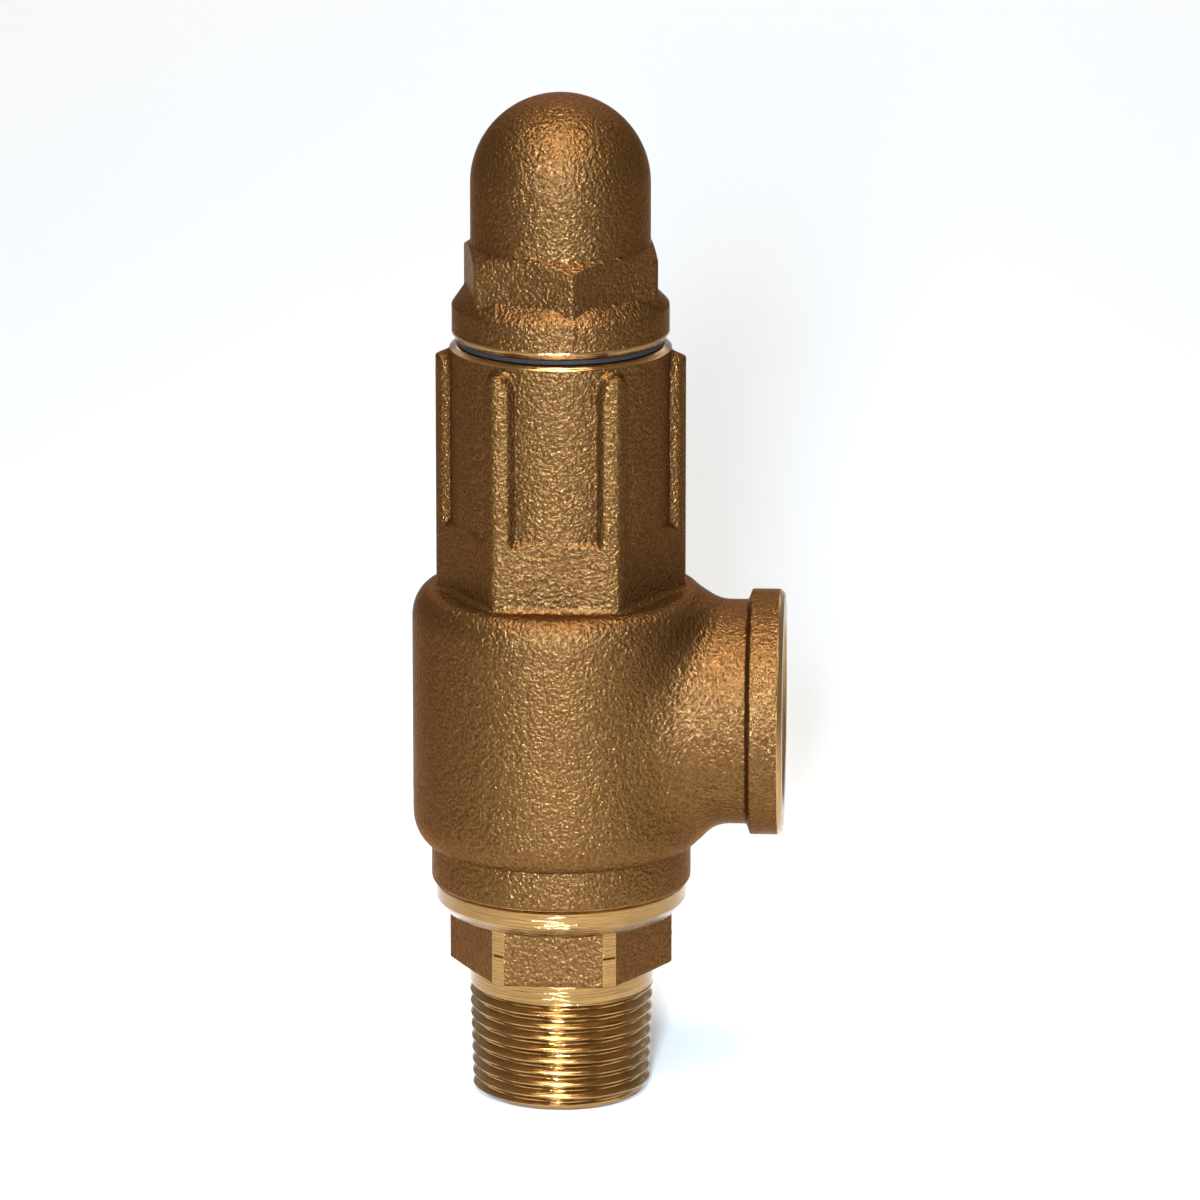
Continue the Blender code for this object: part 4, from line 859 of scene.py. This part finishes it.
def make_disc_group():
    """What lifts: the holder on the seat, its seal with washer and screw, and the spindle's foot and ball."""
    back, pocket_r = POCKET_Z + RIM_HEIGHT, SEAL_R + POCKET_GAP
    groove_foot, groove_top = FOOT_RING_Z - 0.3, FOOT_RING_Z + 1.3
    hole_r, hole_top = SEAL_SCREW_HOLE_R, POCKET_Z + SEAL_SCREW_HOLE_DEPTH
    outline = [(0, HUB_FOOT_Z), (HUB_BORE_R, HUB_FOOT_Z), (HUB_BORE_R, groove_foot)]
    outline += [(FOOT_RING_GROOVE_R, groove_foot), (FOOT_RING_GROOVE_R, groove_top)]
    outline += [(HUB_BORE_R, groove_top), (HUB_BORE_R, HOLDER_TOP_Z), (HUB_R, HOLDER_TOP_Z)]
    outline += [(HUB_R, back + HUB_CONE_HEIGHT), (HOLDER_R, back), (HOLDER_R, HOLDER_FOOT_Z)]
    outline += [(pocket_r, HOLDER_FOOT_Z), (pocket_r, POCKET_Z), (hole_r, POCKET_Z)]
    outline += [(hole_r, hole_top), (0, hole_top)]
    holder = lathe("disc_holder_turned", eased(outline, 0.25), BRASS, 128)
    placed(holder, "disc", "disc_holder")
    seal = lathe("seat_seal", ring_outline(hole_r, SEAL_R, SEAL_FOOT_Z, SEAL_TOP_Z, 0.25), SEAL, 128)
    placed(seal, "disc", "seal_disc")
    foot, top = span("seal_clamp_washer", 2)
    washer_outline = ring_outline(hole_r, span("seal_clamp_washer", 1)[1], foot, top, 0.3)
    washer = lathe("seal_washer", washer_outline, STEEL)
    placed(washer, "disc", "seal_clamp_washer")
    make_seal_screw()
    clip_foot, clip_top = span("spring_plate_ring", 2)
    groove_foot, groove_top, step = clip_foot - 0.15, clip_top + 0.15, SPINDLE_FOOT_Z + SPINDLE_FOOT_HEIGHT
    rod = [(0, SPINDLE_TOP_Z), (SPINDLE_R, SPINDLE_TOP_Z), (SPINDLE_R, groove_top)]
    rod += [(SPINDLE_GROOVE_R, groove_top), (SPINDLE_GROOVE_R, groove_foot)]
    rod += [(SPINDLE_R, groove_foot), (SPINDLE_R, step)]
    rod += [(SPINDLE_FOOT_R, step), (SPINDLE_FOOT_R, SPINDLE_FOOT_Z), (0, SPINDLE_FOOT_Z)]
    placed(lathe("spindle_rod", eased(rod, 0.35), STEEL, 64), "disc", "spindle")
    radius, middle = (BALL_TOP_Z - BALL_FOOT_Z) / 2, (BALL_TOP_Z + BALL_FOOT_Z) / 2
    ball = [(0, BALL_TOP_Z)] + arc(0, middle, radius, radius, range(80, -81, -10)) + [(0, BALL_FOOT_Z)]
    placed(lathe("ball_bearing", ball, STEEL, 64), "disc", "spindle_ball")
    foot, top = span("spindle_retaining_ring", 2)
    make_split_ring(
        "spindle_clip", SPINDLE_BORE_R, CLIP_OUTER_R, foot, top, 2.4, SPRING_WIRE,
        "disc", "spindle_retaining_ring",
    )
    make_split_ring(
        "plate_clip", SPINDLE_GROOVE_R + 0.3, CLIP_OUTER_R, clip_foot, clip_top, 4.8, SPRING_WIRE,
        "disc", "spring_plate_ring",
    )


def make_seal_screw():
    """A hexagon head whose shank goes up into the holder."""
    foot, top = span("seal_screw", 2)
    head = foot + SEAL_HEAD_HEIGHT
    angles = corner_columns(0, [0, 0.8, 2, 5, 10, 16, 23])
    apothem = SEAL_HEAD_CORNER_R * math.cos(math.pi / 6)
    prism = hexagon(angles, apothem, 0, 1.2)
    rows = [(0, top), (SEAL_SHANK_R - 0.3, top), (SEAL_SHANK_R, top - 0.3), (SEAL_SHANK_R, head), (3.6, head)]
    rows += [(prism, head - 0.25), (prism, foot + 0.25), (3.6, foot), (0, foot)]
    made = piece("seal_bolt", [(skin(rows, angles), strips(len(rows), len(angles)), 0)], [STEEL], 30)
    placed(made, "disc", "seal_screw")


def make_spring_and_plates():
    """The coil between its two plates."""
    boss = SPRING_R - WIRE_R - PLATE_BOSS_GAP
    top, edge = LOWER_PLATE_Z + PLATE_THICKNESS, PLATE_CHAMFER
    lower = [(boss, LOWER_BOSS_Z), (boss, top), (PLATE_R, top), (PLATE_R, LOWER_PLATE_Z + edge)]
    lower += [(PLATE_R - edge, LOWER_PLATE_Z), (SPINDLE_BORE_R, LOWER_PLATE_Z)]
    lower += [(SPINDLE_BORE_R, LOWER_BOSS_Z)]
    plate = lathe("lower_plate", eased(lower, 0.3, 3, True), STEEL)
    placed(plate, "disc", "lower_spring_plate")
    foot = UPPER_PLATE_Z - PLATE_THICKNESS
    upper = [(SPINDLE_BORE_R, UPPER_PLATE_Z), (PLATE_R - edge, UPPER_PLATE_Z)]
    upper += [(PLATE_R, UPPER_PLATE_Z - edge)]
    upper += [(PLATE_R, foot), (boss, foot), (boss, UPPER_BOSS_Z), (SPINDLE_BORE_R, UPPER_BOSS_Z)]
    plate = lathe("upper_plate", eased(upper, 0.3, 3, True), STEEL)
    placed(plate, "spring_seat", "upper_spring_plate")
    make_spring()


def make_spring():
    """The coil, in two halves that meet at its middle turn."""
    start, end = SPRING_FOOT_Z + WIRE_R, SPRING_TOP_Z - WIRE_R
    open_rise = (end - start - 2 * CLOSED_RISE) / (SPRING_TURNS - 2)
    turns = np.linspace(0, SPRING_TURNS, SPRING_TURNS * 72 + 1)
    closed_turns = np.minimum(turns, 1), np.maximum(turns - SPRING_TURNS + 1, 0)
    open_turns = np.clip(turns - 1, 0, SPRING_TURNS - 2)
    rise = CLOSED_RISE * closed_turns[0] + open_rise * open_turns + CLOSED_RISE * closed_turns[1]
    angle = TAU * turns
    centre = np.stack([SPRING_R * np.cos(angle), SPRING_R * np.sin(angle), start + rise], -1)
    ahead = np.gradient(centre, axis=0)
    ahead /= np.linalg.norm(ahead, axis=1, keepdims=True)
    out = np.stack([np.cos(angle), np.sin(angle), np.zeros_like(angle)], -1)
    up = np.cross(ahead, out)
    around = (TAU * np.arange(WIRE_COLUMNS) / WIRE_COLUMNS)[:, None]
    tube = centre[:, None] + WIRE_R * (np.cos(around) * out[:, None] + np.sin(around) * up[:, None])
    half = len(centre) // 2
    foot, middle, top = ((0, 0, z * MM) for z in (SPRING_FOOT_Z, float(centre[half, 2]), SPRING_TOP_Z))
    for name, part, bodies, reach in (
        ("coil_spring_lower", slice(0, half + 1), ("disc", "valve"), (foot, middle)),
        ("coil_spring_upper", slice(half, None), ("valve", "spring_seat"), (middle, top)),
    ):
        ends = [np.broadcast_to(centre[part][n], (1, WIRE_COLUMNS, 3)) for n in (0, -1)]
        loops = np.concatenate([ends[0], tube[part], ends[1]])
        coil = piece(name, [(loops, strips(len(loops), WIRE_COLUMNS)[..., ::-1], 0)], [SPRING_WIRE], 50)
        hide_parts("spring")
        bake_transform(coil)


def make_adjuster():
    """Hollow screw with a square end, its washer and lock nut."""
    angles = even(128)
    top = DRIVE_TOP_Z - SQUARE_HEIGHT
    square = SQUARE_HALF / np.maximum(np.abs(np.cos(angles)), np.abs(np.sin(angles)))
    square = np.minimum(square, SQUARE_CORNER_R)
    rows = [(SPINDLE_BORE_R + 0.2, DRIVE_TOP_Z), (square - 0.3, DRIVE_TOP_Z), (square, DRIVE_TOP_Z - 0.3)]
    rows += [(square, top), (SCREW_R - 0.8, top), (SCREW_R, top - 0.8)]
    for z in np.arange(top - 1, SCREW_FOOT_Z + 2.2, -SCREW_PITCH / 8):
        place = (z / SCREW_PITCH + angles / TAU) % 1
        depth = np.clip(1.15 * (1 - np.abs(2 * place - 1)) - 0.1, 0, 1)
        rows.append((SCREW_R - SCREW_THREAD_DEPTH * depth, z))
    rows += [(SCREW_R - 0.1, SCREW_FOOT_Z + 1.8), (SCREW_R - 1.6, SCREW_FOOT_Z)]
    rows += [(SPINDLE_BORE_R + 0.2, SCREW_FOOT_Z), (SPINDLE_BORE_R, SCREW_FOOT_Z + 0.2)]
    rows += [(SPINDLE_BORE_R, DRIVE_TOP_Z - 0.2)]
    points = skin(rows, angles)
    made = piece("adjusting_stem", [(points, strips(len(rows), len(angles), True), 0)], [BRASS], 32)
    placed(made, "adjuster", "adjusting_screw")
    washer = ring_outline(SCREW_BORE_R, span("lock_washer", 1)[1], WASHER_FOOT_Z, WASHER_TOP_Z)
    placed(lathe("nut_washer_ring", washer, STEEL), "nut_washer", "lock_washer")
    make_nut(
        "hex_lock_nut", NUT_CORNER_R, NUT_FOOT_Z, NUT_TOP_Z, 0.8, SCREW_BORE_R, BRASS,
        "nut", "lock_nut",
    )


def make_seals_and_guide():
    """The two gaskets, and the plate that guides the holder with the clip under it."""
    foot, top = span("nozzle_gasket", 2)
    gasket = ring_outline(LOWER_BORE_R + 0.01, span("nozzle_gasket", 1)[1], foot, top, 0.15)
    placed(lathe("body_seal_ring", gasket, GRAPHITE, 128), "valve", "nozzle_gasket")
    gasket = ring_outline(CAP_BORE_R, span("cap_gasket", 1)[1], CAP_GASKET_FOOT_Z, CAP_GASKET_TOP_Z, 0.15)
    placed(lathe("cap_seal_ring", gasket, RUBBER, 128), "cap_seal", "cap_gasket")
    plate = ring_outline(HUB_R + 0.3, GUIDE_R, GUIDE_FOOT_Z, GUIDE_TOP_Z, 0.3)
    placed(lathe("disc_guide", plate, BRASS, 128), "valve", "guide_plate")
    foot, top = span("guide_circlip", 2)
    make_split_ring(
        "guide_clip", GUIDE_CLIP_INNER_R, GUIDE_CLIP_OUTER_R, foot, top, GUIDE_CLIP_MOUTH, SPRING_WIRE,
        "valve", "guide_circlip",
    )


make_disc_group()
make_spring_and_plates()
make_adjuster()
make_seals_and_guide()


# ---------------------------------------------------------------- floor, light and camera


def floor():
    """A pale floor, wide enough to fill the view from the camera's angle."""
    mesh = bpy.data.meshes.new("floor")
    half = 4.0
    corners = [(-half, -half, 0), (half, -half, 0), (half, half, 0), (-half, half, 0)]
    mesh.from_pydata(corners, [], [(0, 1, 2, 3)])
    mesh.materials.append(finish("pale_floor", (0.86, 0.86, 0.86), 0.0, 0.8)[0])
    obj = bpy.data.objects.new("floor", mesh)
    bpy.context.scene.collection.objects.link(obj)


def panel(
    name, azimuth, elevation, away, width, height, power, color=(1, 1, 1), aim=(0, 0, 0.09), spread=180,
):
    """An oblong lamp that faces aim from an azimuth (0 is along -Y) and an elevation, in degrees."""
    turn, rise = math.radians(azimuth), math.radians(elevation)
    toward = Vector((math.sin(turn) * math.cos(rise), -math.cos(turn) * math.cos(rise), math.sin(rise)))
    lamp = bpy.data.lights.new(name, "AREA")
    lamp.shape = "RECTANGLE"
    lamp.size, lamp.size_y = width, height
    lamp.energy = power
    lamp.color = color
    lamp.spread = math.radians(spread)
    obj = bpy.data.objects.new(name, lamp)
    obj.location = Vector(aim) + toward * away
    obj.rotation_euler = (-toward).to_track_quat("-Z", "Y").to_euler()
    bpy.context.scene.collection.objects.link(obj)


def room(level):
    """Even white light from all round."""
    world = bpy.data.worlds.new("room")
    world.use_nodes = True
    backdrop = world.node_tree.nodes["Background"]
    backdrop.inputs["Color"].default_value = (1, 1, 1, 1)
    backdrop.inputs["Strength"].default_value = level
    bpy.context.scene.world = world


def camera():
    """Long lens from the front, a little to the right and above."""
    side, rise, away = math.radians(2.5), math.radians(15.1), 1.614
    right = Vector((math.cos(side), math.sin(side), 0))
    aim = Vector((0, 0, 0.0914)) + 0.007 * right  # half way up, and a little towards the outlet
    toward = Vector((math.sin(side) * math.cos(rise), -math.cos(side) * math.cos(rise), math.sin(rise)))
    lens = bpy.data.cameras.new("camera")
    lens.lens, lens.sensor_width = 270, 36
    obj = bpy.data.objects.new("camera", lens)
    obj.location = aim + away * toward
    obj.rotation_euler = (-toward).to_track_quat("-Z", "Y").to_euler()
    bpy.context.scene.collection.objects.link(obj)
    bpy.context.scene.camera = obj


floor()
room(0.42)
panel("front_strip", -1.0, 16, 1.5, 0.14, 0.24, 1.05, (0.62, 0.80, 1.0), spread=22)
panel("near_floor", 0, 78, 0.7, 0.3, 0.3, 0.5, (1.0, 0.97, 0.92), aim=(0, -0.10, 0), spread=40)
panel("overhead", 0, 66, 1.1, 0.9, 0.5, 8.0, (1.0, 0.96, 0.88))
panel("behind", 180, 35, 1.6, 1.6, 0.9, 4.0)
panel("far_floor", 180, 60, 1.6, 2.4, 1.2, 6.0, aim=(0, 1.5, 0), spread=90)
camera()
bpy.context.scene.view_settings.view_transform = "Standard"
